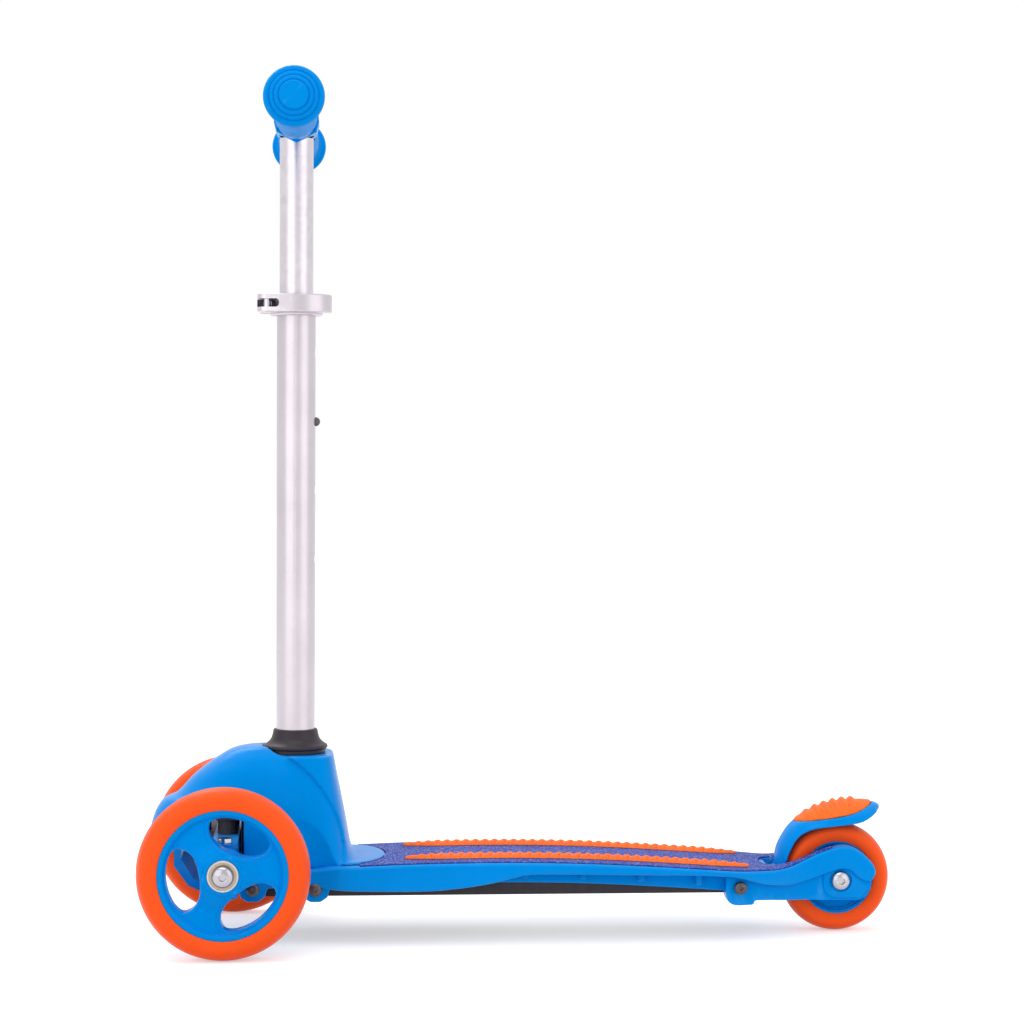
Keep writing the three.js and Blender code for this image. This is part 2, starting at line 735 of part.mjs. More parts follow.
// Tube socket with the block for the lean pivot, the forward arm and the bumper wings
function socketSolid() {
  const bottom = channelTop + fit;
  const column = bar(2 * socketRadius, 'z', bottom, socketTop, [-columnSetBack, 0, 0], tubeSides);
  const blockFront = -(carrierRear + runningGap);
  const armTop = socketArmBottom + socketArmThickness;
  const pivotBlock = block(
    -columnSetBack, blockFront, -pivotBlockHalfWidth, pivotBlockHalfWidth, bottom, armTop,
  );
  const arm = block(
    blockFront - overrun, steeringArm + socketArmHalfWidth / 2 + drivePinDiameter / 2,
    -socketArmHalfWidth, socketArmHalfWidth, socketArmBottom, armTop,
  );
  const wings = block(
    blockFront, bumperDiameter / 2 + runningGap, -socketWingHalfSpan, socketWingHalfSpan, socketArmBottom,
    armTop,
  );
  const wingRoot = block(
    blockFront - overrun, blockFront + overrun / 2, -pivotBlockHalfWidth, pivotBlockHalfWidth,
    socketArmBottom, armTop,
  );
  const tubeBore = bar(
    lowerTubeDiameter + 2 * fit, 'z', bottom + socketFloor, socketTop + overrun, [-columnSetBack, 0, 0],
    tubeSides,
  );
  const pivotBore = bar(
    leanPivotDiameter + 2 * fit, 'x', -pivotBlockRear - fit, carrierFront, [0, 0, leanPivotHeight],
  );
  const pinBore = bar(
    drivePinDiameter + 2 * fit, 'z', socketArmBottom - overrun, armTop + overrun, [steeringArm, 0, 0],
  );
  const boltBore = bar(
    tubeBoltDiameter + 2 * fit, 'y', -socketRadius - overrun, socketRadius + overrun,
    [-columnSetBack, 0, tubeBoltHeight],
  );
  const whole = joined([column, pivotBlock, arm, wings, wingRoot]);
  return without(whole, [tubeBore, pivotBore, pinBore, boltBore]);
}

// A bolt across the scooter with a domed head at each end
function crossBolt(diameter, headDiameter, headHeight, half, x, z) {
  const shank = diameter / 2;
  const head = headDiameter / 2;
  const nearEnd = fromShares(crossHeadShares, 0, head, half, headHeight);
  const otherEnd = nearEnd.map(([radius, along]) => [radius, -along]);
  const profile = [...otherEnd, [shank, -half], [shank, half], ...nearEnd.reverse()];
  return turned(profile, 'y', [x, 0, z], boltSides);
}

// Underframe channel, open below
function channelSolid() {
  const rear = -(rearBoltSetBack + crossBoltDiameter);
  const outer = block(rear, -channelFront, -channelHalfWidth, channelHalfWidth, channelBottom, channelTop);
  const inside = channelHalfWidth - channelWall;
  const hollow = block(
    rear - overrun, -channelFront + overrun, -inside, inside, channelBottom - overrun,
    channelTop - channelWall,
  );
  return without(outer, [hollow, ...crossBoltBores(channelHalfWidth)]);
}

function crossBoltBores(half) {
  const bores = [
    [frontBoltSetBack, frontBoltHeight], [middleBoltSetBack, middleBoltHeight],
    [rearBoltSetBack, rearBoltHeight],
  ];
  return bores.map(([back, height]) => bar(
    crossBoltDiameter + 2 * fit, 'y', -half - overrun, half + overrun, [-back, 0, height],
  ));
}

// Deck: the top curve, the side band, the web round the channel and the rear fork

function deckTopLine() {
  return fromShares(deckTopShares, -deckFront, -(forkRoot - deckFront), 0, deckCrown);
}

function forkTopLine() {
  return fromShares(forkTopShares, -wheelBase, -forkReach, rearWheelRadius, forkReach);
}

function bandOutline() {
  const bottom = fromShares(bandBottomShares, -deckFront, -(forkRoot - deckFront), 0, deckCrown);
  const hood = fromShares(forkHoodShares, -wheelBase, -forkReach, rearWheelRadius, forkReach);
  return [...deckTopLine(), ...forkTopLine(), ...hood, ...bottom.reverse()];
}

// Half width of the deck seen from above, front to rear, mirrored to the other side
function deckPlan(wide, narrow, frontX) {
  const taperStart = wheelBase * taperStartShare;
  const taperLength = wheelBase * taperLengthShare;
  const edge = bandPlanShares.map(([along, across]) => [
    -(taperStart + taperLength * along), wide - (wide - narrow) * across,
  ]);
  const rearEnd = -(wheelBase + forkReach + overrun);
  const half = [[frontX, wide], ...edge, [rearEnd, narrow]];
  return [...half, ...half.map(([x, y]) => [x, -y]).reverse()];
}

function forkLowerOutline() {
  const lower = fromShares(forkLowerShares, -wheelBase, -forkReach, rearWheelRadius, forkReach);
  const front = lower[0][0];
  return [[front, deckCrown * forkLowerTopShare], ...lower];
}

function deckGrooves() {
  const [front, rear] = [-deckFront - overrun, rearLugRadius - rearBoltSetBack];
  const line = deckTopLine().filter(([x]) => x < front && x > rear);
  const top = line.map(([x, z]) => [x, z - deckSkin]);
  const outline = [[top[0][0], 0], ...top, [top[top.length - 1][0], 0]];
  const inner = webHalfWidth;
  const outer = deckHalfWidth - deckWall;
  return [fromSide(outline, inner, outer), fromSide(outline, -outer, -inner)];
}

function deckRibs() {
  const ribs = [];
  const first = deckFront + (forkRoot - deckFront) * ribStartShare;
  const span = (forkRoot - deckFront) * ribSpanShare;
  for (let i = 0; i < ribCount; i += 1) {
    const x = -(first + span * i / (ribCount - 1));
    const z1 = deckCrown - webDepth / 2;
    const z0 = z1 - ribThickness;
    const reach = deckHalfWidth - 2 * deckWall;
    ribs.push(block(x - ribThickness / 2, x + ribThickness / 2, webHalfWidth - deckWall / 2, reach, z0, z1));
    ribs.push(block(x - ribThickness / 2, x + ribThickness / 2, -reach, deckWall / 2 - webHalfWidth, z0, z1));
  }
  return ribs;
}

function deckSolid() {
  const band = fromSide(bandOutline(), -deckHalfWidth, deckHalfWidth)
    .intersect(fromAbove(deckPlan(deckHalfWidth, forkHalfWidth, 0), 0, 2 * deckCrown));
  const topLine = deckTopLine();
  const webLine = topLine.filter(([x]) => x > -(rearBoltSetBack + overrun));
  const webOutline = [
    ...webLine.map(([x, z]) => [x, z - deckSkin / 2]),
    ...webLine.map(([x, z]) => [x, z - webDepth]).reverse(),
  ];
  const web = fromSide(webOutline, -webHalfWidth, webHalfWidth);
  const base = block(-deckFront - overrun, -baseFront, -baseHalfWidth, baseHalfWidth, baseBottom, baseTop);
  const lugs = [];
  for (const [back, height, radius, reach] of [
    [frontBoltSetBack, frontBoltHeight, lugOuterRadius, baseHalfWidth],
    [middleBoltSetBack, middleBoltHeight, lugOuterRadius, baseHalfWidth],
    [rearBoltSetBack, rearBoltHeight, rearLugRadius, baseHalfWidth],
  ]) {
    lugs.push(bar(2 * radius, 'y', channelHalfWidth, reach, [-back, 0, height], bossSides));
    lugs.push(bar(2 * radius, 'y', -reach, -channelHalfWidth, [-back, 0, height], bossSides));
  }
  const lower = fromSide(forkLowerOutline(), -deckHalfWidth, deckHalfWidth)
    .intersect(fromAbove(deckPlan(baseHalfWidth, forkLowerHalfWidth, 0), 0, deckCrown));
  const axleBoss = bar(
    stubDiameter, 'y', -wheelSlotHalfWidth - overrun, wheelSlotHalfWidth + overrun,
    [-wheelBase, 0, rearWheelRadius],
  );
  const grooved = without(band, deckGrooves());
  return without(joined([grooved, web, base, ...lugs, lower, ...deckRibs(), axleBoss]), deckCuts());
}

function deckCuts() {
  const channelRoom = channelHalfWidth + fit;
  const channelEnd = -(rearBoltSetBack + crossBoltDiameter + runningGap);
  const channelCut = block(channelEnd, overrun, -channelRoom, channelRoom, 0, channelTop + fit);
  const socketRoom = socketRadius + runningGap;
  const socketCut = block(
    -(columnSetBack + socketRoom), overrun, -socketRoom, socketRoom, channelTop, baseTop + overrun,
  );
  const slotRear = -(wheelBase + forkReach + overrun);
  const gap = hubBossWidth / 2 + fit;
  const slot = block(slotRear, -slotFront, -wheelSlotHalfWidth, wheelSlotHalfWidth, 0, 2 * deckCrown);
  const axleBossKept = bar(
    stubDiameter, 'y', gap, wheelSlotHalfWidth + overrun, [-wheelBase, 0, rearWheelRadius],
  ).add(bar(
    stubDiameter, 'y', -wheelSlotHalfWidth - overrun, -gap, [-wheelBase, 0, rearWheelRadius],
  ));
  const brakePinBore = bar(
    brakePinDiameter + 2 * fit, 'y', -brakePinHalfLength - fit, brakePinHalfLength + fit,
    [-brakePivotBack, 0, brakePivotHeight],
  );
  const axleBore = bar(
    axleDiameter + 2 * fit, 'y', -forkHalfWidth - overrun, forkHalfWidth + overrun,
    [-wheelBase, 0, rearWheelRadius],
  );
  const headRooms = [-1, 1].map((side) => bar(
    axleNutAcrossFlats + overrun,
    'y',
    side > 0 ? forkLowerHalfWidth : -forkHalfWidth - overrun,
    side > 0 ? forkHalfWidth + overrun : -forkLowerHalfWidth,
    [-wheelBase, 0, rearWheelRadius],
    bossSides,
  ));
  const rearHollow = block(
    -(slotFront - 2 * deckWall), channelEnd + fit - 2 * deckWall, -channelRoom, channelRoom, 0,
    brakePivotHeight,
  );
  return [
    channelCut, socketCut, slot.subtract(axleBossKept), brakePinBore, axleBore, ...headRooms,
    rearHollow, ...crossBoltBores(baseHalfWidth),
  ];
}

// A layer that follows the deck's top line, between two heights above it
function layerAlong(line, bottom, top) {
  const outline = [
    ...line.map(([x, z]) => [x, z + top]),
    ...line.map(([x, z]) => [x, z + bottom]).reverse(),
  ];
  return fromSide(outline, -deckHalfWidth, deckHalfWidth);
}

// Grip sheet that follows the deck's top, with a bay for the tongue and one for the wheel
function sheetPlan() {
  const wide = deckHalfWidth - sheetInset;
  const plan = deckPlan(wide, forkHalfWidth - sheetInset, -deckFront - runningGap);
  return fromAbove(plan, 0, 2 * deckCrown);
}

function sheetSolid() {
  const forkPart = forkTopLine().slice(0, 3);
  const line = [...deckTopLine(), ...forkPart];
  const sheet = layerAlong(line, fit, fit + sheetThickness).intersect(sheetPlan());
  const tongueRoom = fromAbove(
    [
      [0, -tongueHalfWidth - fit],
      ...ellipseArc(-deckFront - overrun, 0, -tongueReach - fit, tongueHalfWidth + fit, -90, 90, 12),
      [0, tongueHalfWidth + fit],
    ],
    0,
    2 * deckCrown,
  );
  const skirtRoom = block(-fairingRear - tongueReach / 3, 0, -deckHalfWidth, deckHalfWidth, 0, 2 * deckCrown);
  const bay = wheelSlotHalfWidth + sheetInset;
  const slotRoom = fromAbove(
    [
      [-wheelBase - forkReach, -bay],
      ...ellipseArc(-slotFront, 0, -sheetInset * 2, bay, -90, -270, 12),
      [-wheelBase - forkReach, bay],
    ],
    0,
    2 * deckCrown,
  );
  return without(sheet, [tongueRoom, skirtRoom, slotRoom]);
}

// Tread strip, pointed at both ends, lying on the grip sheet
function treadSolid(side) {
  const middle = side * treadOffset;
  const start = -treadStartBack;
  const end = -(wheelBase - treadEndAhead);
  const half = treadWidth / 2;
  const shoulder = half * treadShoulderShare;
  const taper = treadPointLength / 4;
  const plan = fromAbove(
    [
      [start, middle], [start - taper, middle + shoulder], [start - treadPointLength, middle + half],
      [end + treadPointLength, middle + half], [end + taper, middle + shoulder], [end, middle],
      [end + taper, middle - shoulder], [end + treadPointLength, middle - half],
      [start - treadPointLength, middle - half], [start - taper, middle - shoulder],
    ],
    0,
    2 * deckCrown,
  );
  const seat = fit + sheetThickness + fit;
  return layerAlong(deckTopLine(), seat, seat + treadThickness).intersect(plan);
}

// Front housing: a rounded hood over the axle and a fairing behind the wheel arches

function hoodSolid(wall, floor, steps) {
  const height = housingTop - baseTop;
  const kept = hoodSliceShares.filter((slice, i) => wall === 0 || i % 2 === 0);
  const slices = kept.map(([level, front, rear, width]) => ({
    z: level === 0 ? floor : baseTop + height * level - wall,
    points: ovalSlice(
      noseReach * front - wall, -hoodRear * rear + wall, -hoodMiddle, hoodHalfWidth * width - wall,
      hoodCornerShare, steps,
    ),
  }));
  return stacked(slices);
}

function fairingSolid(wall, floor, steps) {
  const height = housingTop - baseTop;
  const kept = fairingSliceShares.filter((slice, i) => wall === 0 || i % 2 === 0);
  const slices = kept.map(([level, rear, width]) => ({
    z: level === 0 ? floor : baseTop + height * level - wall,
    points: ovalSlice(
      -fairingFront - wall, -fairingRear * rear + wall, -fairingMiddle, fairingHalfWidth * width - wall,
      fairingCornerShare, steps,
    ),
  }));
  const arch = bar(
    2 * (archRadius + wall), 'y', -2 * fairingHalfWidth, 2 * fairingHalfWidth, [0, 0, frontWheelRadius],
    archSides,
  );
  return stacked(slices).subtract(arch);
}

function housingSolid() {
  const floor = baseTop + fit;
  const deckSeat = deckCrown * deckTopShares[0][1] + fit;
  const outer = hoodSolid(0, floor, shellSteps).add(fairingSolid(0, floor, shellSteps));
  const tonguePlan = fromAbove(
    [
      [-deckFront, -tongueHalfWidth],
      ...ellipseArc(-deckFront - overrun, 0, -tongueReach, tongueHalfWidth, -90, 90, 12),
      [-deckFront, tongueHalfWidth],
    ],
    0,
    2 * deckCrown,
  );
  const tongue = layerAlong(deckTopLine(), fit, fit + tongueThickness).intersect(tonguePlan);
  const inner = hoodSolid(housingWall, 0, innerSteps).add(fairingSolid(housingWall, 0, innerSteps))
    .intersect(block(-deckFront, noseReach, -deckHalfWidth, deckHalfWidth, 0, platformHeight - housingWall));
  const deckRoom = block(
    -2 * deckFront, -deckFront + fit, -2 * deckHalfWidth, 2 * deckHalfWidth, 0, deckSeat,
  );
  const lipCut = block(-openingRear, 2 * noseReach, -deckHalfWidth, deckHalfWidth, 0, hoodLipHeight);
  const topCut = bar(
    baseCollarFoot + 2 * runningGap, 'z', platformHeight, housingTop + overrun, [-columnSetBack, 0, 0],
    tubeSides,
  );
  const rearTopCut = block(
    -fairingRear, -columnSetBack, -fairingHalfWidth, fairingHalfWidth, platformHeight, housingTop + overrun,
  );
  const tubeBore = bar(
    lowerTubeDiameter + 2 * fit, 'z', socketTop, housingTop + overrun, [-columnSetBack, 0, 0], tubeSides,
  );
  return without(outer.add(tongue), [
    inner, deckRoom, lipCut, topCut, rearTopCut, tubeBore, sideOpening(),
  ]);
}

function sideOpening() {
  const corner = openingCorner;
  const outline = [
    [-openingRear, hoodLipHeight - overrun],
    ...ellipseArc(-openingRear + corner, openingTop - corner, corner, corner, 180, 90, 4),
    ...ellipseArc(openingFront - corner, openingTop - corner, corner, corner, 90, 0, 4),
    [openingFront, hoodLipHeight - overrun],
  ];
  return fromSide(outline, -2 * hoodHalfWidth, 2 * hoodHalfWidth);
}

// Column pieces, placed on the tube's axis

function lowerTubeSolid() {
  const bottom = channelTop + fit + socketFloor + fit;
  const inner = lowerTubeDiameter - 2 * lowerTubeWall;
  const tube = sleeve(lowerTubeDiameter, inner, bottom, lowerTubeTop, 'z', [-columnSetBack, 0, 0]);
  const cuts = [];
  for (let i = 0; i < holeCount; i += 1) {
    const z = buttonHeight + holePitch * (i - holeCount + 2);
    const [from, to] = [-columnSetBack - lowerTubeDiameter, -columnSetBack];
    cuts.push(bar(holeDiameter, 'x', from, to, [0, 0, z]));
  }
  cuts.push(bar(
    tubeBoltDiameter + 2 * fit, 'y', -lowerTubeDiameter, lowerTubeDiameter,
    [-columnSetBack, 0, tubeBoltHeight],
  ));
  return without(tube, cuts);
}

function baseCollarSolid() {
  const bore = columnRadius + fit;
  const foot = baseCollarFoot / 2;
  const neck = baseCollarNeck / 2;
  const bottom = platformHeight + fit;
  const outside = fromShares(baseCollarShares, neck, foot - neck, bottom, baseCollarHeight);
  const profile = [[bore, bottom], ...outside, [bore, bottom + baseCollarHeight]];
  return turned(profile, 'z', [-columnSetBack, 0, 0]);
}

// Split collar with two ears at the front that the clamp bolt draws together
const earFront = columnRadius + fit + clampEarReach;
const clampBoltPlace = -columnSetBack + earFront - clampEarReach / 2 + fit;
const clampMiddle = (leverBottom + leverTop) / 2;
const earOuter = clampSlit / 2 + clampEarThickness;
const leverPinPlace = earOuter + fit + leverCamRadius;

function clampCollarSolid() {
  const bore = lowerTubeDiameter + 2 * fit;
  const ring = sleeve(clampDiameter, bore, clampBottom, clampTop, 'z', [-columnSetBack, 0, 0]);
  const ears = block(
    -columnSetBack + columnRadius, -columnSetBack + earFront, -earOuter, earOuter, leverBottom, clampTop,
  );
  const place = [-columnSetBack, 0, 0];
  const boreCut = bar(bore, 'z', clampBottom - overrun, clampTop + overrun, place, tubeSides);
  const slit = block(
    -columnSetBack, -columnSetBack + 2 * earFront, -clampSlit / 2, clampSlit / 2, clampBottom - overrun,
    clampTop + overrun,
  );
  const boltBore = bar(
    clampBoltDiameter + 2 * fit, 'y', -earOuter - overrun, earOuter + overrun,
    [clampBoltPlace, 0, clampMiddle],
  );
  return without(ring.add(ears.subtract(boreCut)), [slit, boltBore]);
}

function clampBoltSolid() {
  const head = bar(
    clampBoltHeadDiameter, 'y', -earOuter - fit - clampBoltHeadHeight, -earOuter - fit,
    [clampBoltPlace, 0, clampMiddle],
  );
  const tip = leverPinPlace + leverCamRadius - runningGap;
  const shank = bar(clampBoltDiameter, 'y', -earOuter - fit - fit, tip, [clampBoltPlace, 0, clampMiddle]);
  const eye = bar(
    leverPinDiameter + 2 * fit, 'z', clampMiddle - clampBoltDiameter, clampMiddle + clampBoltDiameter,
    [clampBoltPlace, leverPinPlace, 0],
  );
  return shank.subtract(eye).subtract(block(
    clampBoltPlace - clampBoltDiameter, clampBoltPlace + clampBoltDiameter, leverPinPlace, tip + overrun,
    clampMiddle - clampBoltDiameter, clampMiddle + clampBoltDiameter,
  )).add(head);
}

function leverSolid() {
  const inner = clampDiameter / 2 + fit + runningGap;
  const outer = inner + leverThickness;
  const outerReach = outer + leverRearSweep;
  const innerReach = inner + leverRearSweep;
  const arc = [
    ...ellipseArc(-columnSetBack, 0, outerReach, outer, leverStartDegrees, leverEndDegrees, leverSteps),
    ...ellipseArc(-columnSetBack, 0, innerReach, inner, leverEndDegrees, leverStartDegrees, leverSteps),
  ];
  const handle = fromAbove(arc, leverBottom, leverTop);
  const pivot = [clampBoltPlace, leverPinPlace, 0];
  const cam = bar(2 * leverCamRadius, 'z', leverBottom, leverTop, pivot, bossSides);
  const slot = block(
    clampBoltPlace - leverSlotReach / 2, clampBoltPlace + leverSlotReach,
    leverPinPlace - leverCamRadius - overrun,
    leverPinPlace + leverCamRadius + overrun, clampMiddle - leverSlotHeight / 2 - fit,
    clampMiddle + leverSlotHeight / 2 + fit,
  );
  const pinBore = bar(
    leverPinDiameter + 2 * fit, 'z', leverBottom - overrun, leverTop + overrun,
    [clampBoltPlace, leverPinPlace, 0],
  );
  return without(handle.add(cam), [slot, pinBore]);
}

function leverPinSolid() {
  return bar(leverPinDiameter, 'z', leverBottom, leverTop, [clampBoltPlace, leverPinPlace, 0]);
}

// Handlebar: upper tube with its button hole, guide plug, tee, cross tube and grips

function upperTubeSolid() {
  const inner = upperTubeDiameter - 2 * upperTubeWall;
  const tube = sleeve(
    upperTubeDiameter, inner, upperTubeBottom, handlebarHeight - crossTubeDiameter / 2 - fit, 'z',
    [-columnSetBack, 0, 0],
  );
  const hole = bar(
    buttonDiameter + 2 * fit, 'x', -columnSetBack - upperTubeDiameter, -columnSetBack, [0, 0, buttonHeight],
  );
  return tube.subtract(hole);
}

function guidePlugSolid() {
  const lip = lowerTubeDiameter / 2 - lowerTubeWall - fit;
  const plug = upperTubeInside - fit;
  const seat = upperTubeBottom - fit;
  const bore = plug / 2;
  const profile = [
    [bore, seat - guideLip], [lip, seat - guideLip], [lip, seat], [plug, seat], [plug, seat + guideLength],
    [bore, seat + guideLength],
  ];
  return turned(profile, 'z', [-columnSetBack, 0, 0], bossSides);
}

function snapButtonSolid() {
  const outerEnd = -columnSetBack - columnRadius - buttonReach;
  const wallInside = -columnSetBack - buttonSeat;
  const flangeEnd = wallInside + buttonFlangeThickness;
  const radius = buttonDiameter / 2;
  const profile = [
    ...fromShares(buttonDomeShares, 0, radius, outerEnd, radius), [radius, wallInside],
    [buttonFlangeDiameter / 2, wallInside], [buttonFlangeDiameter / 2, flangeEnd], [0, flangeEnd],
  ];
  return turned(profile, 'x', [0, 0, buttonHeight], boltSides);
}

// Bent leaf inside the upper tube that pushes the button out
function snapSpringSolid() {
  const behind = -columnSetBack - buttonSeat + buttonFlangeThickness + fit;
  const front = -columnSetBack + upperTubeInside - runningGap;
  const top = buttonHeight + leafWidth / 2;
  const bottom = buttonHeight - leafLength;
  const bend = (front - behind) / 2;
  const middle = (front + behind) / 2;
  const outline = [
    [behind, top], [behind, bottom], ...ellipseArc(middle, bottom, bend, bend, 180, 360, 10), [front, top],
    [front - leafThickness, top],
    ...ellipseArc(middle, bottom, bend - leafThickness, bend - leafThickness, 360, 180, 10),
    [behind + leafThickness, top],
  ];
  return fromSide(outline, -leafWidth / 2, leafWidth / 2);
}

function crossTubeSolid() {
  return sleeve(
    crossTubeDiameter, crossTubeDiameter - 2 * crossTubeWall, -crossTubeHalfLength, crossTubeHalfLength, 'y',
    [-columnSetBack, 0, handlebarHeight],
  );
}

function teeSolid() {
  const axis = [-columnSetBack, 0, handlebarHeight];
  const bore = crossTubeDiameter + 2 * fit;
  const waist = teeWaistDiameter / 2;
  const boss = teeBossDiameter / 2;
  const barrel = turned(
    [[bore / 2, -teeHalfWidth], [waist, -teeHalfWidth], [boss, -teeHalfWidth / 2], [boss, teeHalfWidth / 2],
      [waist, teeHalfWidth], [bore / 2, teeHalfWidth]],
    'y', axis,
  );
  const sleeveRadius = teeSleeveDiameter / 2;
  const lowest = handlebarHeight - teeSleeveDepth;
  const stem = bar(teeSleeveDiameter, 'z', lowest, handlebarHeight, [-columnSetBack, 0, 0], tubeSides);
  const edge = handlebarHeight - teeSleeveDepth / 3;
  const vee = fromSide(
    [
      [-columnSetBack, lowest], [-columnSetBack + sleeveRadius + fit, edge],
      [-columnSetBack + sleeveRadius + fit, handlebarHeight + boss],
      [-columnSetBack - sleeveRadius - fit, handlebarHeight + boss],
      [-columnSetBack - sleeveRadius - fit, edge],
    ],
    -2 * sleeveRadius,
    2 * sleeveRadius,
  );
  const tubeRoom = bar(
    upperTubeDiameter + 2 * fit, 'z', lowest - overrun, handlebarHeight, [-columnSetBack, 0, 0], tubeSides,
  );
  const crossRoom = bar(bore, 'y', -teeHalfWidth - overrun, teeHalfWidth + overrun, axis, tubeSides);
  return without(barrel.add(stem.intersect(vee)), [tubeRoom, crossRoom]);
}

function gripSolid(side) {
  const bore = crossTubeDiameter / 2 + fit;
  const body = gripDiameter / 2;
  const flange = gripFlangeDiameter / 2;
  const profile = [[bore, gripStart], [body, gripStart]];
  const shoulder = gripFlangeAt + gripFlangeThickness;
  profile.push([body, gripFlangeAt], [flange - gripEdge, gripFlangeAt], [flange, gripFlangeAt + gripEdge]);
  profile.push([flange, shoulder]);
  for (const [radiusShare, alongShare] of gripStepShares) {
    profile.push([flange * radiusShare, shoulder + (gripEnd - shoulder) * alongShare]);
  }
  profile.push([0, gripEnd], [0, gripBoreDepth], [bore, gripBoreDepth]);
  const points = [...profile, profile[0]];
  const mirrored = side > 0 ? points : points.map(([radius, along]) => [radius, -along]).reverse();
  const vectors = mirrored.map(([radius, along]) => new THREE.Vector2(radius, along));
  const geometry = new THREE.LatheGeometry(vectors, tubeSides);
  return alongAxis(geometry, 'y', -columnSetBack, 0, handlebarHeight);
}

// Rear brake: a fender that hugs the tyre, its ribbed pad, the pin and the spring

const brakeRoot = -brakePivotBack + brakeBarrelDiameter / 2;

function brakeShares(shares) {
  return fromShares(shares, brakeRoot, -brakeLength, brakePivotHeight, brakeHeight);
}

// The space round the rear tyre that the fender keeps clear of
function tyreRoom() {
  const radius = rearWheelRadius + brakeGap;
  const half = tyreWidth / 2 + brakeSideGap;
  const shoulder = radius - half * tyreRoomShare;
  const profile = [[0, -half], [shoulder, -half]];
  const steps = 6;
  for (let i = 1; i < steps; i += 1) {
    const angle = Math.PI * (i / steps - 1 / 2);
    profile.push([shoulder + (radius - shoulder) * Math.cos(angle), half * Math.sin(angle)]);
  }
  profile.push([shoulder, half], [0, half]);
  return turned(profile, 'y', [-wheelBase, 0, rearWheelRadius], tyreSides);
}

function brakePlan() {
  const front = -(brakePivotBack - brakeBarrelDiameter);
  const half = [
    [front, brakeNeckHalfWidth], [front - brakeLength * brakeNeckShare, brakeNeckHalfWidth],
    ...fromShares(brakePlanShares, front, -brakeLength, 0, brakePadHalfWidth),
  ];
  return fromAbove([...half, ...half.map(([x, y]) => [x, -y]).reverse()], 0, 2 * deckCrown);
}

function fenderSolid() {
  const outline = [...brakeShares(brakeTopShares), ...brakeShares(brakeUnderShares)];
  const body = fromSide(outline, -brakePadHalfWidth, brakePadHalfWidth).intersect(brakePlan());
  const pivot = [-brakePivotBack, 0, brakePivotHeight];
  const barrel = bar(brakeBarrelDiameter, 'y', -brakeBarrelHalfWidth, brakeBarrelHalfWidth, pivot);
  const springRoom = springRadius + springWire + runningGap;
  const pinBore = bar(brakePinDiameter + 2 * fit, 'y', -brakePadHalfWidth, brakePadHalfWidth, pivot);
  const cuts = [tyreRoom(), pinBore];
  for (const side of [-1, 1]) {
    const [near, far] = [side * brakeBarrelHalfWidth, side * brakePadHalfWidth];
    const [y0, y1] = side > 0 ? [near, far] : [far, near];
    cuts.push(bar(2 * springRoom, 'y', y0, y1, pivot, bossSides));
  }
  return without(body.add(barrel), [...cuts, padSolid(fit, 0)]);
}

// The pad lies in a shallow seat on top of the fender; extra widens it to cut that seat
function padSolid(extra, ribs) {
  const top = brakeShares(brakeTopShares);
  const [firstX, lastX] = padRangeShares.map((share) => brakeRoot - brakeLength * share);
  const line = top.filter(([x]) => x <= firstX + overrun / 4 && x >= lastX - overrun / 4);
  const lift = ribs > 0 ? brakePadThickness / 4 : overrun;
  const outline = [
    ...line.map(([x, z]) => [x, z + lift]),
    ...line.map(([x, z]) => [x, z - brakePadThickness - extra]).reverse(),
  ];
  const middleX = (line[0][0] + line[line.length - 1][0]) / 2;
  const reachX = (line[0][0] - line[line.length - 1][0]) / 2 - brakePadInset + extra;
  const reachY = brakePadHalfWidth - brakePadInset + extra;
  const plan = fromAbove(ellipseArc(middleX, 0, reachX, reachY, 0, 360, 22).slice(0, -1), 0, 2 * deckCrown);
  const pad = fromSide(outline, -brakePadHalfWidth, brakePadHalfWidth).intersect(plan);
  const ridges = [];
  for (let i = 0; i < ribs; i += 1) {
    const along = (i + padRibEndShare) / (ribs - 1 + 2 * padRibEndShare);
    const x = line[0][0] - (line[0][0] - line[line.length - 1][0]) * along;
    const ahead = line.findIndex(([place]) => place <= x);
    const [x0, z0] = line[ahead - 1];
    const [x1, z1] = line[ahead];
    const z = z0 + (z1 - z0) * (x - x0) / (x1 - x0) + lift;
    ridges.push(bar(2 * brakeRibHeight, 'y', -reachY, reachY, [x, 0, z], padRibSides).intersect(plan));
  }
  return joined([pad, ...ridges]);
}

function brakePinSolid() {
  return bar(
    brakePinDiameter, 'y', -brakePinHalfLength, brakePinHalfLength, [-brakePivotBack, 0, brakePivotHeight],
  );
}

// The spring's centre line: a leg up the fender's front, the curls, and a leg to the slot's front wall
function springLine() {
  const [x, z] = [-brakePivotBack, brakePivotHeight];
  const start = brakeBarrelHalfWidth + fit + springWire / 2 + fit;
  const points = [[x + springRadius, start, z + springLegHeight], [x + springRadius, start, z + springWire]];
  const steps = springStepsPerCurl * springCurls;
  for (let i = 0; i <= steps; i += 1) {
    const angle = -2 * Math.PI * i / springStepsPerCurl;
    const y = start + springPitch * i / springStepsPerCurl;
    points.push([x + springRadius * Math.cos(angle), y, z + springRadius * Math.sin(angle)]);
  }
  const last = points[points.length - 1];
  points.push([last[0] + springRestReach - springWire, last[1], last[2]]);
  points.push([last[0] + springRestReach, last[1], last[2]]);
  return points.map(([px, py, pz]) => new THREE.Vector3(px, py, pz));
}

// Least distance between turns of the wire, less its thickness, skipping neighbouring points
function leastGap(points, diameter, skipped) {
  let least = Infinity;
  for (let i = 0; i < points.length; i += 1) {
    for (let j = i + skipped; j < points.length; j += 1) {
      least = Math.min(least, points[i].distanceTo(points[j]) - diameter);
    }
  }
  return least;
}

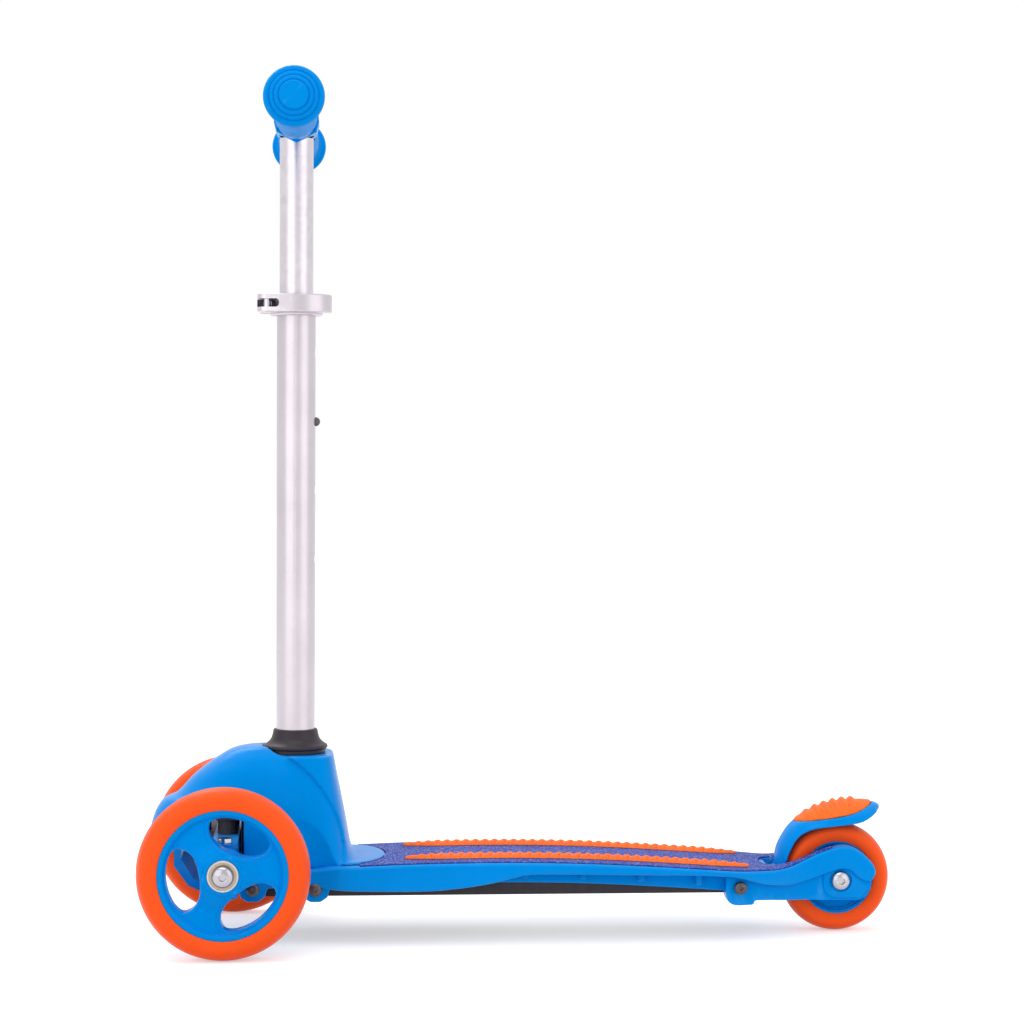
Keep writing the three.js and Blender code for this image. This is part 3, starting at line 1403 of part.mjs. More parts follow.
// A closed tube of flat sides along a line of points
function wireSolid(points, diameter, sides) {
  const positions = [];
  const faces = [];
  let across = new THREE.Vector3(0, 1, 0);
  points.forEach((point, i) => {
    const before = points[Math.max(i - 1, 0)];
    const after = points[Math.min(i + 1, points.length - 1)];
    const along = after.clone().sub(before).normalize();
    across = across.clone().sub(along.clone().multiplyScalar(across.dot(along))).normalize();
    const upward = along.clone().cross(across);
    for (let side = 0; side < sides; side += 1) {
      const angle = 2 * Math.PI * side / sides;
      const corner = point.clone()
        .addScaledVector(across, diameter / 2 * Math.cos(angle))
        .addScaledVector(upward, diameter / 2 * Math.sin(angle));
      positions.push(corner.x, corner.y, corner.z);
    }
  });
  const rings = points.length;
  for (let ring = 0; ring < rings - 1; ring += 1) {
    for (let side = 0; side < sides; side += 1) {
      const here = ring * sides + side;
      const beside = ring * sides + (side + 1) % sides;
      faces.push(here, beside, here + sides, beside, beside + sides, here + sides);
    }
  }
  for (let side = 1; side < sides - 1; side += 1) {
    const last = (rings - 1) * sides;
    faces.push(0, side + 1, side, last, last + side, last + side + 1);
  }
  const geometry = new THREE.BufferGeometry();
  geometry.setAttribute('position', new THREE.Float32BufferAttribute(positions, 3));
  geometry.setIndex(faces);
  return toSolid(geometry);
}

function brakeSpringSolid() {
  const points = springLine();
  const gap = leastGap(points, springWire, springStepsPerCurl / 2 + 1);
  console.log(`brake spring: least gap between its curls ${gap.toFixed(2)} mm`);
  return wireSolid(points, springWire, springSides);
}

// The rear axle bolt and its nut, across the fork

function rearAxleBolt() {
  const place = [-wheelBase, 0, rearWheelRadius];
  const shank = bar(axleDiameter, 'y', -forkHalfWidth, forkLowerHalfWidth + fit + fit, place);
  const head = domedHead(axleHeadDiameter - fit, axleHeadHeight)
    .translate([place[0], forkLowerHalfWidth + fit, place[2]]);
  return shank.add(head);
}

function rearAxleNut() {
  const place = [-wheelBase, 0, rearWheelRadius];
  const from = -forkLowerHalfWidth - fit - axleNutHeight;
  const nut = bar(axleNutAcrossFlats, 'y', from, -forkLowerHalfWidth - fit, place, 6);
  return nut.subtract(bar(axleDiameter + 2 * fit, 'y', from - overrun, 0, place));
}

// The assembly, one group for each set of pieces that moves together

const scooter = new THREE.Group();

function addChassis(chassis) {
  addPiece(chassis, 'deck', deckSolid(), blue);
  addPiece(chassis, 'deck_grip_sheet', sheetSolid(), glitter);
  addPiece(chassis, 'left_tread_strip', treadSolid(1), padOrange);
  addPiece(chassis, 'right_tread_strip', treadSolid(-1), padOrange);
  addPiece(chassis, 'underframe_channel', channelSolid(), black);
  addPiece(chassis, 'front_housing', housingSolid(), blue);
  addPiece(chassis, 'tube_socket', socketSolid(), black);
  const boltHalf = socketRadius + fit;
  const tubeBolt = crossBolt(
    tubeBoltDiameter, tubeBoltHeadDiameter, tubeBoltHeadHeight, boltHalf, -columnSetBack, tubeBoltHeight,
  );
  addPiece(chassis, 'tube_cross_bolt', tubeBolt, zinc);
  for (const [name, back, height] of [
    ['front_cross_bolt', frontBoltSetBack, frontBoltHeight],
    ['middle_cross_bolt', middleBoltSetBack, middleBoltHeight],
    ['rear_cross_bolt', rearBoltSetBack, rearBoltHeight],
  ]) {
    const bolt = crossBolt(
      crossBoltDiameter, crossBoltHeadDiameter, crossBoltHeadHeight, baseHalfWidth + fit, -back, height,
    );
    addPiece(chassis, name, bolt, darkSteel);
  }
  addPiece(chassis, 'lean_pivot_bolt', leanPivotBolt(), zinc);
  addPiece(chassis, 'tie_rod_drive_pin', drivePinSolid(), zinc);
  addPiece(chassis, 'rear_axle_bolt', rearAxleBolt(), zinc);
  addPiece(chassis, 'rear_axle_nut', rearAxleNut(), zinc);
  addPiece(chassis, 'brake_pivot_pin', brakePinSolid(), zinc);
  addPiece(chassis, 'brake_spring', brakeSpringSolid(), zinc);
  addPiece(chassis, 'lower_tube', lowerTubeSolid(), aluminium);
  addPiece(chassis, 'base_collar', baseCollarSolid(), rubber);
  addPiece(chassis, 'clamp_collar', clampCollarSolid(), aluminium);
  addPiece(chassis, 'clamp_bolt', clampBoltSolid(), zinc);
}

function addFrontAxle(frontAxle) {
  addPiece(frontAxle, 'axle_carrier', carrierSolid(), blue);
  addPiece(frontAxle, 'tie_rod', tieRodSolid(), black);
  for (const [name, side] of [['left', 1], ['right', -1]]) {
    addPiece(frontAxle, `${name}_kingpin`, kingpinSolid(side), zinc);
    addPiece(frontAxle, `${name}_bumper`, bumperSolid(side), rubber);
    addPiece(frontAxle, `${name}_knuckle`, knuckleSolid(side), blue);
    const wheel = new THREE.Group();
    wheel.position.set(0, side * halfTrack, frontWheelRadius);
    wheel.rotation.z = side > 0 ? 0 : Math.PI;
    addPiece(wheel, `${name}_axle_bolt`, frontAxleBolt(), zinc);
    addWheel(wheel, name, frontWheelDiameter, frontRimDiameter, windowCount, ['outer', 'inner']);
    frontAxle.add(wheel);
  }
}

function addHandlebar(handlebar) {
  addPiece(handlebar, 'upper_tube', upperTubeSolid(), aluminium);
  addPiece(handlebar, 'tube_guide_plug', guidePlugSolid(), black);
  addPiece(handlebar, 'handlebar_cross_tube', crossTubeSolid(), aluminium);
  addPiece(handlebar, 'handlebar_tee', teeSolid(), blue);
  addPiece(handlebar, 'left_grip', gripSolid(1), blue);
  addPiece(handlebar, 'right_grip', gripSolid(-1), blue);
  addPiece(handlebar, 'snap_spring', snapSpringSolid(), zinc);
  addPiece(handlebar, 'snap_button', snapButtonSolid(), zinc);
}

function addBrake(brake) {
  addPiece(brake, 'brake_fender', fenderSolid(), blue);
  addPiece(brake, 'brake_pad', padSolid(0, brakeRibCount), padOrange);
}

function addLever(lever) {
  addPiece(lever, 'clamp_lever', leverSolid(), aluminium);
  addPiece(lever, 'lever_pin', leverPinSolid(), zinc);
}

for (const add of [addChassis, addFrontAxle, addHandlebar, addBrake, addLever]) {
  const group = new THREE.Group();
  add(group);
  scooter.add(group);
}

const rearWheel = new THREE.Group();
rearWheel.position.set(-wheelBase, 0, rearWheelRadius);
addWheel(rearWheel, 'rear', rearWheelDiameter, rearRimDiameter, 0, ['left', 'right']);
scooter.add(rearWheel);

scooter.position.x = (wheelBase + rearWheelRadius - frontWheelRadius) / 2;

export default scooter;
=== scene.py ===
"""Looks of the three wheel kids scooter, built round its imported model.

Pieces are drawn in millimetres from the point on the ground below the front axle,
x forward, y to the rider's left and z up, and are placed in the frame in metres.
"""

import json
import math

import bmesh
import bpy
from mathutils import Matrix, Vector


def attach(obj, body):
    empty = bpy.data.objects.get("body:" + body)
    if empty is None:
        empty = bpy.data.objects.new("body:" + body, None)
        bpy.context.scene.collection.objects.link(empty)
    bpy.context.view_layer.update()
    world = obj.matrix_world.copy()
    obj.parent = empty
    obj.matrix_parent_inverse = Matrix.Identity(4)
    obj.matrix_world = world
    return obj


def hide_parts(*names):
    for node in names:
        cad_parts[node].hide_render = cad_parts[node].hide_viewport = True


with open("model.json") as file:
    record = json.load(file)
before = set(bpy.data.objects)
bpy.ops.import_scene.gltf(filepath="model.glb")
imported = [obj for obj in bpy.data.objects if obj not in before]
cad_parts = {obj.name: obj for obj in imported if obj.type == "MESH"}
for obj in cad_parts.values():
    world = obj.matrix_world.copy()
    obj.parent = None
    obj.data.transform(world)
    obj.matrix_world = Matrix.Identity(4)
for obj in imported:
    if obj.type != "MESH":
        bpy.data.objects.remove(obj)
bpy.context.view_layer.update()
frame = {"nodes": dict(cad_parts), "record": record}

MM = 0.001
ORIGIN = (0, 0, 0)
WHITE = (1.0, 1.0, 1.0, 1.0)

# Sizes repeated from the model

AXLE_AHEAD = 212.5
WHEEL_BASE, HALF_TRACK = 445.0, 92.0
FRONT_RADIUS, REAR_RADIUS, TYRE_HALF = 60.0, 40.0, 12.0
FRONT_RIM, REAR_RIM, RIM_HALF = 45.5, 29.0, 10.0
WEB_HALF, BOSS_RADIUS, BOSS_HALF = 6.5, 15.5, 11.5
BEARING_RADIUS, BEARING_WIDTH, AXLE_RADIUS = 11.0, 7.0, 4.0
COLUMN_X, BAR_HEIGHT = -48.0, 588.5
DECK_FRONT, DECK_CROWN, DECK_HALF = 80.5, 59.0, 52.0
FORK_ROOT, FORK_HALF, FORK_REACH = 395.0, 26.0, 26.0
SLOT_FRONT, SLOT_HALF = 393.0, 15.3
BASE_TOP, HOUSING_TOP, PLATFORM, HOUSING_WALL = 53.7, 140.0, 133.0, 3.0
COLUMN = (COLUMN_X, 0, 0)
REAR_AXLE = (-WHEEL_BASE, 0, REAR_RADIUS)
SHARP = 0.01  # the rim of a body that only cuts
MERGE = 2e-7


def at(x, y, z):
    """A place in the frame, in metres, from millimetres about the front axle."""
    return Vector(((x + AXLE_AHEAD) * MM, y * MM, z * MM))


def blend_value(low, high, share):
    return low + (high - low) * share


def bulged(value, power):
    """A cosine or sine raised to a power, with its sign kept."""
    return math.copysign(abs(value) ** power, value)


def both_sides(near, far):
    """The spans along y from near to far, on the left and on the right."""
    return (near, far), (-far, -near)


# Outlines: lists of (a, b) pairs


def polar(radius, degrees):
    turn = math.radians(degrees)
    return radius * math.cos(turn), radius * math.sin(turn)


def arc(middle, reach_a, reach_b, start, end, steps):
    """An oval's arc between two angles in degrees, both ends included."""
    units = [polar(1, blend_value(start, end, k / steps)) for k in range(steps + 1)]
    return [(middle[0] + reach_a * cos, middle[1] + reach_b * sin) for cos, sin in units]


def quarter(steps):
    """Pairs that run from (1, 0) to (0, 1) along a quarter of a circle."""
    return arc((0, 0), 1, 1, 0, 90, steps)


def eased(corners, closed=True, steps=4):
    """An outline whose (a, b, radius) corners are each rounded by their own radius."""
    points = []
    count = len(corners)
    for i, (a, b, radius) in enumerate(corners):
        if radius <= 0 or (not closed and i in (0, count - 1)):
            points.append((a, b))
            continue
        here = Vector((a, b))
        before = Vector(corners[i - 1][:2]) - here
        after = Vector(corners[(i + 1) % count][:2]) - here
        half = before.angle(after) / 2
        reach = min(radius / max(math.tan(half), 1e-3), 0.48 * before.length, 0.48 * after.length)
        start, end = here + before.normalized() * reach, here + after.normalized() * reach
        for k in range(steps + 1):
            t = k / steps
            points.append(tuple(start * (1 - t) ** 2 + here * (2 * t * (1 - t)) + end * t * t))
    return points


def curved(points, per_span=6, closed=False):
    """A smooth line through the points, with the same number of steps in each span."""
    count = len(points)
    line = []
    for i in range(count if closed else count - 1):
        picks = [(i + k) % count if closed else min(max(i + k, 0), count - 1) for k in (-1, 0, 1, 2)]
        p = [Vector(points[pick]) for pick in picks]
        for k in range(per_span):
            t = k / per_span
            point = 2 * p[1] + (p[2] - p[0]) * t + (2 * p[0] - 5 * p[1] + 4 * p[2] - p[3]) * t * t
            line.append(tuple(0.5 * (point + (3 * p[1] - p[0] - 3 * p[2] + p[3]) * t ** 3)))
    return line if closed else line + [tuple(points[-1])]


def spaced(line, count):
    """The line cut into equal steps, with this many points in all."""
    lengths = [0.0]
    for a, b in zip(line, line[1:]):
        lengths.append(lengths[-1] + (Vector(b) - Vector(a)).length)
    points, seek = [], 0
    for i in range(count):
        goal = lengths[-1] * i / (count - 1)
        while seek < len(line) - 2 and lengths[seek + 1] < goal:
            seek += 1
        t = (goal - lengths[seek]) / max(lengths[seek + 1] - lengths[seek], 1e-9)
        points.append(tuple(Vector(line[seek]).lerp(Vector(line[seek + 1]), min(max(t, 0), 1))))
    return points


def height_at(line, x):
    """The height of a line of (x, z) pairs that runs rearward, at x."""
    for (x0, z0), (x1, z1) in zip(line, line[1:]):
        if x1 <= x <= x0:
            return blend_value(z0, z1, (x0 - x) / max(x0 - x1, 1e-9))
    return line[0][1] if x > line[0][0] else line[-1][1]


def inset(outline, distance):
    """The outline drawn in by a distance, with the same number of points."""
    if distance == 0:
        return list(outline)
    ahead = outline[1:] + outline[:1]
    side = 1 if sum(a[0] * b[1] - b[0] * a[1] for a, b in zip(outline, ahead)) > 0 else -1
    drawn = []
    for i, point in enumerate(outline):
        here = Vector(point)
        before = (here - Vector(outline[i - 1])).normalized()
        after = (Vector(ahead[i]) - here).normalized()
        tangent = (before + after).normalized()
        normal = Vector((-tangent.y, tangent.x)) * side
        drawn.append(tuple(here + normal * distance / max(abs(tangent.dot(before)), 0.5)))
    return drawn


def lifted(outline, level, axis):
    """The outline's points in space, at a level along the axis it is drawn across."""
    return [{"x": (level, a, b), "y": (a, level, b), "z": (a, b, level)}[axis] for a, b in outline]


def from_shares(shares, a0, da, b0, db):
    return [(a0 + da * a, b0 + db * b) for a, b in shares]


def rectangle(low, high, radius=0.0):
    """The (a, b, radius) corners of a rectangle between two opposite corners."""
    (a0, b0), (a1, b1) = low, high
    return [(a0, b0, radius), (a1, b0, radius), (a1, b1, radius), (a0, b1, radius)]


def mirrored_corners(corners):
    """The (a, b, radius) corners and their reflections across b = 0."""
    return corners + [(a, -b, radius) for a, b, radius in reversed(corners)]


# Shells: (places, faces) of closed bodies


def band(below, above, count, chosen=None):
    """Faces between two rings of places whose numbers start at below and above."""
    ends = [(i, (i + 1) % count) for i in range(count) if chosen is None or chosen[i]]
    return [[below + i, below + j, above + j, above + i] for i, j in ends]


def lathe(profile, axis="y", centre=ORIGIN, sides=96):
    """A (radius, along) outline turned round an axis, closed on itself or on the axis."""
    places, rows = [], []
    for radius, along in profile:
        row = []
        for i in range(sides if radius > 0 else 1):
            a, b = polar(radius, 360 * i / sides)
            offset = {"x": (along, a, b), "y": (b, along, a), "z": (a, b, along)}[axis]
            row.append(len(places))
            places.append(tuple(c + o for c, o in zip(centre, offset)))
        rows.append(row)
    pairs = list(zip(rows, rows[1:]))
    if profile[0][0] > 0:
        pairs.append((rows[-1], rows[0]))
    faces = []
    for low, high in pairs:
        for i in range(sides):
            j = (i + 1) % sides
            corners = [low[i % len(low)], low[j % len(low)], high[j % len(high)], high[i % len(high)]]
            corners = list(dict.fromkeys(corners))
            if len(corners) > 2:
                faces.append(corners)
    return places, faces


def turned(corners, axis="y", centre=ORIGIN, sides=96):
    return lathe(eased(corners, steps=3), axis, centre, sides)


def loft(rings):
    """Rings of places joined in order, with their ends capped."""
    count, last = len(rings[0]), (len(rings) - 1) * len(rings[0])
    faces = []
    for below in range(0, last, count):
        faces += band(below, below + count, count)
    faces += [list(range(count - 1, -1, -1)), list(range(last, last + count))]
    return [place for ring in rings for place in ring], faces


def plate(outline, low, high, axis="y", rim=0.6, steps=3):
    """A flat outline given its thickness, with rounded rims."""
    rims = [(rim * (1 - sin), rim * (1 - cos)) for cos, sin in quarter(steps)]
    levels = [(drawn, low + rise) for drawn, rise in rims]
    levels += [(drawn, high - rise) for drawn, rise in reversed(rims)]
    return loft([lifted(inset(outline, drawn), level, axis) for drawn, level in levels])


def slab(corners, low, high, axis="y", rim=0.6, steps=3, ease=5):
    return plate(eased(corners, steps=ease), low, high, axis, rim, steps)


def box(low, high, rim=SHARP):
    corners = rectangle((low[0], low[2]), (high[0], high[2]), rim * 2)
    return slab(corners, low[1], high[1], "y", rim, ease=3)


def round_bar(radius, axis, low, high, centre=ORIGIN, rim=0.6, sides=48):
    profile = eased([(0, low, 0), (radius, low, rim), (radius, high, rim), (0, high, 0)], closed=False)
    return lathe(profile, axis, centre, sides)


def bore(radius, axis, low, high, centre=ORIGIN, sides=48):
    return round_bar(radius, axis, low, high, centre, SHARP, sides)


def mirrored(shell):
    return [(x, -y, z) for x, y, z in shell[0]], shell[1]


# Meshes: each form is a shell or a mesh


def linked(name, data):
    thing = bpy.data.objects.new(name, data)
    bpy.context.scene.collection.objects.link(thing)
    return thing


def mesh_of(*shells):
    """One mesh of the shells, each facing out."""
    form = bmesh.new()
    for places, faces in shells:
        corners = [form.verts.new(at(*place)) for place in places]
        for face in faces:
            form.faces.new([corners[i] for i in face])
    bmesh.ops.remove_doubles(form, verts=form.verts, dist=MERGE)
    bmesh.ops.dissolve_degenerate(form, edges=form.edges, dist=MERGE)
    bmesh.ops.recalc_face_normals(form, faces=form.faces)
    mesh = bpy.data.meshes.new("form")
    form.to_mesh(mesh)
    form.free()
    return mesh


def as_mesh(form):
    return form if isinstance(form, bpy.types.Mesh) else mesh_of(form)


def worked(form, steps):
    """The form as a list of (kind, settings) modifiers leaves it."""
    holder = linked("holder", as_mesh(form))
    for kind, settings in steps:
        modifier = holder.modifiers.new(kind.lower(), kind)
        for name, value in settings.items():
            setattr(modifier, name, value)
    graph = bpy.context.evaluated_depsgraph_get()
    result = bpy.data.meshes.new_from_object(holder.evaluated_get(graph))
    bpy.data.objects.remove(holder)
    return result


def combined(first, others, operation):
    helpers = [linked("helper", as_mesh(other)) for other in others]
    settings = {"operation": operation, "solver": "MANIFOLD"}
    result = worked(first, [("BOOLEAN", {**settings, "object": helper}) for helper in helpers])
    for helper in helpers:
        bpy.data.objects.remove(helper)
    return result


def joined(first, *others):
    return combined(first, others, "UNION")


def cut(first, *others):
    return combined(first, others, "DIFFERENCE")


def kept_inside(first, other):
    return combined(first, [other], "INTERSECT")


def softened(form, cell, passes):
    """The form drawn again with small even faces and its edges melted a little."""
    remesh = {"mode": "VOXEL", "voxel_size": cell * MM, "adaptivity": 0.0}
    return worked(form, [("REMESH", remesh), ("SMOOTH", {"factor": 0.5, "iterations": passes})])


def shifted(form, offset, flipped=False):
    """The form carried to an offset, first turned half round the upright if flipped."""
    mesh = as_mesh(form)
    start = at(0, 0, 0)
    mesh.transform(Matrix.Translation(-start))
    if flipped:
        mesh.transform(Matrix.Rotation(math.pi, 4, "Z"))
    mesh.transform(Matrix.Translation(start + Vector(offset) * MM))
    return mesh


def add_piece(name, form, finish, body, replaced=(), crease=32):
    """A finished piece of the scooter that rides on one of its bodies."""
    mesh = as_mesh(form)
    mesh.name = name
    mesh.materials.clear()
    mesh.materials.append(FINISHES[finish])
    mesh.shade_smooth()
    mesh.set_sharp_from_angle(angle=math.radians(crease))
    piece = linked(name, mesh)
    weighted = piece.modifiers.new("even_shading", "WEIGHTED_NORMAL")
    weighted.keep_sharp = True
    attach(piece, body)
    if replaced:
        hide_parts(*replaced)
    return piece


# Nodes


def fill(tree, socket, value):
    """Gives a socket a plain value or the output of another node."""
    if isinstance(value, bpy.types.NodeSocket):
        tree.links.new(value, socket)
    else:
        socket.default_value = value


def node(tree, kind, inputs=(), **settings):
    made = tree.nodes.new("ShaderNode" + kind)
    for name, value in settings.items():
        setattr(made, name, value)
    for label, value in dict(inputs).items():
        fill(tree, made.inputs[label], value)
    return made


def emptied(owner):
    """The empty node tree of a world or material."""
    owner.use_nodes = True
    owner.node_tree.nodes.clear()
    return owner.node_tree


def maths(tree, operation, first, second, clamp=False):
    return node(tree, "Math", {0: first, 1: second}, operation=operation, use_clamp=clamp).outputs[0]


def ranged(tree, value, low, high, to_low=0.0, to_high=1.0):
    labels = ("Value", "From Min", "From Max", "To Min", "To Max")
    return node(tree, "MapRange", zip(labels, (value, low, high, to_low, to_high))).outputs["Result"]


def mixed(tree, mask, first, second):
    return node(tree, "Mix", {0: mask, 6: first, 7: second}, data_type="RGBA").outputs[2]


def scattered(tree, scale, detail, roughness=0.5, stretch=None):
    """Noise over the piece's own places, at a scale in grains per metre."""
    place = node(tree, "TexCoord").outputs["Object"]
    if stretch:
        place = node(tree, "Mapping", {"Vector": place, "Scale": stretch}).outputs["Vector"]
    inputs = {"Vector": place, "Scale": scale, "Detail": detail, "Roughness": roughness}
    return node(tree, "TexNoise", inputs).outputs["Fac"]


# Effects that several materials share: each gives a list of outputs for the inputs given


def drifting_tone(tree, given):
    """Slow changes of lightness over a moulded or cast surface."""
    low = maths(tree, "SUBTRACT", 1.0, given["Amount"])
    high = maths(tree, "ADD", 1.0, given["Amount"])
    value = ranged(tree, scattered(tree, given["Scale"], 3.0), 0.3, 0.7, low, high)
    return [node(tree, "HueSaturation", {"Value": value, "Color": given["Colour"]}).outputs["Color"]]


def laid_over(tree, given, label, first, second):
    """The given colour with another over it where both masks are bright."""
    mask = maths(tree, "MULTIPLY", first, second)
    mask = maths(tree, "MULTIPLY", mask, given["Amount"], clamp=True)
    return [mixed(tree, mask, given["Colour"], given[label])]


def edge_wear_and_highlight(tree, given):
    """Lighter colour along outer edges, broken up by noise: partly rubbed wear, partly a painted edge highlight.
    """
    edge = ranged(tree, node(tree, "NewGeometry").outputs["Pointiness"], 0.51, 0.6)
    patches = ranged(tree, scattered(tree, 180.0, 4.0), 0.35, 0.65, 0.45, 1.0)
    return laid_over(tree, given, "Wear And Highlight Colour", edge, patches)


def settled_dust(tree, given):
    """Dust that lies on faces that look up and in quiet places."""
    split = node(tree, "SeparateXYZ", {"Vector": node(tree, "NewGeometry").outputs["Normal"]})
    upward = ranged(tree, split.outputs["Z"], 0.2, 1.0)
    cloud = ranged(tree, scattered(tree, 60.0, 6.0, 0.65), 0.42, 0.68)
    return laid_over(tree, given, "Dust Colour", upward, cloud)


def glossed(tree, given, fine, slow, share):
    """The fine pattern as a height, and both patterns as a spread of gloss."""
    parts = [maths(tree, "MULTIPLY", fine, share), maths(tree, "MULTIPLY", slow, 1 - share)]
    spread = ranged(tree, maths(tree, "ADD", *parts), 0.3, 0.7, given["Gloss Low"], given["Gloss High"])
    return [fine, spread]


def fine_grain(tree, given):
    """The faint grain of a moulding tool."""
    grain = scattered(tree, given["Scale"], 2.0)
    return glossed(tree, given, grain, scattered(tree, 35.0, 4.0), 0.4)


def drawn_lines(tree, given):
    """Fine upright lines left by drawing or brushing metal."""
    lines = scattered(tree, given["Scale"], 3.0, 0.6, (1.0, 1.0, 0.015))
    return glossed(tree, given, lines, scattered(tree, 25.0, 5.0), 0.6)


def glitter_flakes(tree, given):
    """Tiny flakes of several tones set in a dark ground."""
    place = node(tree, "TexCoord").outputs["Object"]
    cells = node(tree, "TexVoronoi", {"Vector": place, "Scale": given["Scale"]})
    split = node(tree, "SeparateColor", {"Color": cells.outputs["Color"]})
    dark = ranged(tree, split.outputs["Red"], 0.62, 0.72)
    bright = ranged(tree, split.outputs["Green"], 0.84, 0.9)
    colour = mixed(tree, dark, given["Ground"], given["Dark Flake"])
    return [mixed(tree, bright, colour, given["Bright Flake"]), bright, split.outputs["Blue"]]


def make_effect(build, inputs, outputs):
    """A node group of an effect; inputs without a value and outputs named Colour are colours."""
    tree = bpy.data.node_groups.new(build.__name__, "ShaderNodeTree")
    for label, value in inputs.items():
        kind = "NodeSocketColor" if value is None else "NodeSocketFloat"
        socket = tree.interface.new_socket(label, in_out="INPUT", socket_type=kind)
        if value is not None:
            socket.default_value = value
    for label in outputs:
        kind = "NodeSocketColor" if label == "Colour" else "NodeSocketFloat"
        tree.interface.new_socket(label, in_out="OUTPUT", socket_type=kind)
    given, end = tree.nodes.new("NodeGroupInput"), tree.nodes.new("NodeGroupOutput")
    for label, result in zip(outputs, build(tree, given.outputs)):
        tree.links.new(result, end.inputs[label])
    return tree


GLOSS_SOCKETS = ({"Scale": 900.0, "Gloss Low": 0.3, "Gloss High": 0.4}, ("Height", "Roughness"))
EFFECTS = {
    build: make_effect(build, inputs, outputs)
    for build, (inputs, outputs) in {
        drifting_tone: ({"Colour": None, "Amount": 0.06, "Scale": 14.0}, ("Colour",)),
        # The edge effect lays on a lighter colour that is partly rubbed wear and partly a painted edge highlight.
        edge_wear_and_highlight: ({"Colour": None, "Wear And Highlight Colour": None, "Amount": 0.4}, ("Colour",)),
        fine_grain: GLOSS_SOCKETS,
        settled_dust: ({"Colour": None, "Dust Colour": None, "Amount": 0.1}, ("Colour",)),
        drawn_lines: GLOSS_SOCKETS,
        glitter_flakes: (
            {"Ground": None, "Dark Flake": None, "Bright Flake": None, "Scale": 1400.0},
            ("Colour", "Shine", "Height"),
        ),
    }.items()
}


# Finishes


def linear(colour):
    """A screen colour from 0 to 255 as the light values that shaders take."""
    shares = [value / 255 for value in colour]
    return *(s / 12.92 if s <= 0.04045 else ((s + 0.055) / 1.055) ** 2.4 for s in shares), 1.0


def placed(tree, effect, inputs):
    return node(tree, "Group", inputs, node_tree=EFFECTS[effect]).outputs


def toned(tree, colour, amount, scale):
    return placed(tree, drifting_tone, {"Colour": colour, "Amount": amount, "Scale": scale})["Colour"]


def wear_and_highlight_at_edges(tree, colour, wear_and_highlight_colour, amount):
    # Lighter edges: partly rubbed wear, partly a painted edge highlight.
    return placed(tree, edge_wear_and_highlight, {"Colour": colour, "Wear And Highlight Colour": linear(wear_and_highlight_colour), "Amount": amount})["Colour"]


def dusted(tree, colour, dust, amount):
    return placed(tree, settled_dust, {"Colour": colour, "Dust Colour": linear(dust), "Amount": amount})["Colour"]


def spread_gloss(tree, effect, scale, gloss):
    surface = placed(tree, effect, {"Scale": scale, "Gloss Low": gloss[0], "Gloss High": gloss[1]})
    return surface["Roughness"], surface["Height"]


def new_tree(name):
    material = bpy.data.materials.new(name)
    material.use_nodes = True
    return material, material.node_tree


def shaded(material, colour, rough, height, depth, inputs):
    """The material with its shader filled in and a bump that is this many metres deep."""
    tree = material.node_tree
    bump = node(tree, "Bump", {"Distance": depth, "Strength": 1.0, "Height": height})
    inputs = {"Base Color": colour, "Roughness": rough, "Normal": bump.outputs["Normal"], **inputs}
    for label, value in inputs.items():
        fill(tree, tree.nodes["Principled BSDF"].inputs[label], value)
    return material


def moulded(name, colour, wear_and_highlight_colour, gloss=(0.28, 0.38), wear_and_highlight_amount=0.4, dust=0.06, grain=900.0, depth=0.00002,
            specular=0.5, drift=0.05, tint=(255, 255, 255)):
    """Plastic or rubber from a mould."""
    material, tree = new_tree(name)
    # Edges get a lighter colour that is partly rubbed wear and partly a painted highlight.
    paint = wear_and_highlight_at_edges(tree, toned(tree, linear(colour), drift, 14.0), wear_and_highlight_colour, wear_and_highlight_amount)
    paint = dusted(tree, paint, (215, 210, 205), dust)
    inputs = {"Specular IOR Level": specular, "Specular Tint": linear(tint)}
    return shaded(material, paint, *spread_gloss(tree, fine_grain, grain, gloss), depth, inputs)


def metal(name, colour, wear_and_highlight_colour, gloss, lines, metallic=1.0):
    """Drawn, turned or plated metal."""
    material, tree = new_tree(name)
    # Edges get a lighter colour that is partly rubbed wear and partly a painted highlight.
    paint = wear_and_highlight_at_edges(tree, toned(tree, linear(colour), 0.05, 30.0), wear_and_highlight_colour, 0.5)
    surface = spread_gloss(tree, drawn_lines, lines, gloss)
    return shaded(material, paint, *surface, 0.000008, {"Metallic": metallic})


def glittered(name, ground, dark, bright):
    """The deck's grip sheet: violet-blue film with fine flakes."""
    material, tree = new_tree(name)
    tones = {"Ground": linear(ground), "Dark Flake": linear(dark), "Bright Flake": linear(bright)}
    flakes = placed(tree, glitter_flakes, {**tones, "Scale": 1300.0})
    paint = dusted(tree, toned(tree, flakes["Colour"], 0.08, 20.0), (190, 190, 205), 0.03)
    rough = ranged(tree, flakes["Shine"], 0.0, 1.0, 0.7, 0.36)
    return shaded(material, paint, rough, flakes["Height"], 0.00006, {"Specular IOR Level": 0.2})
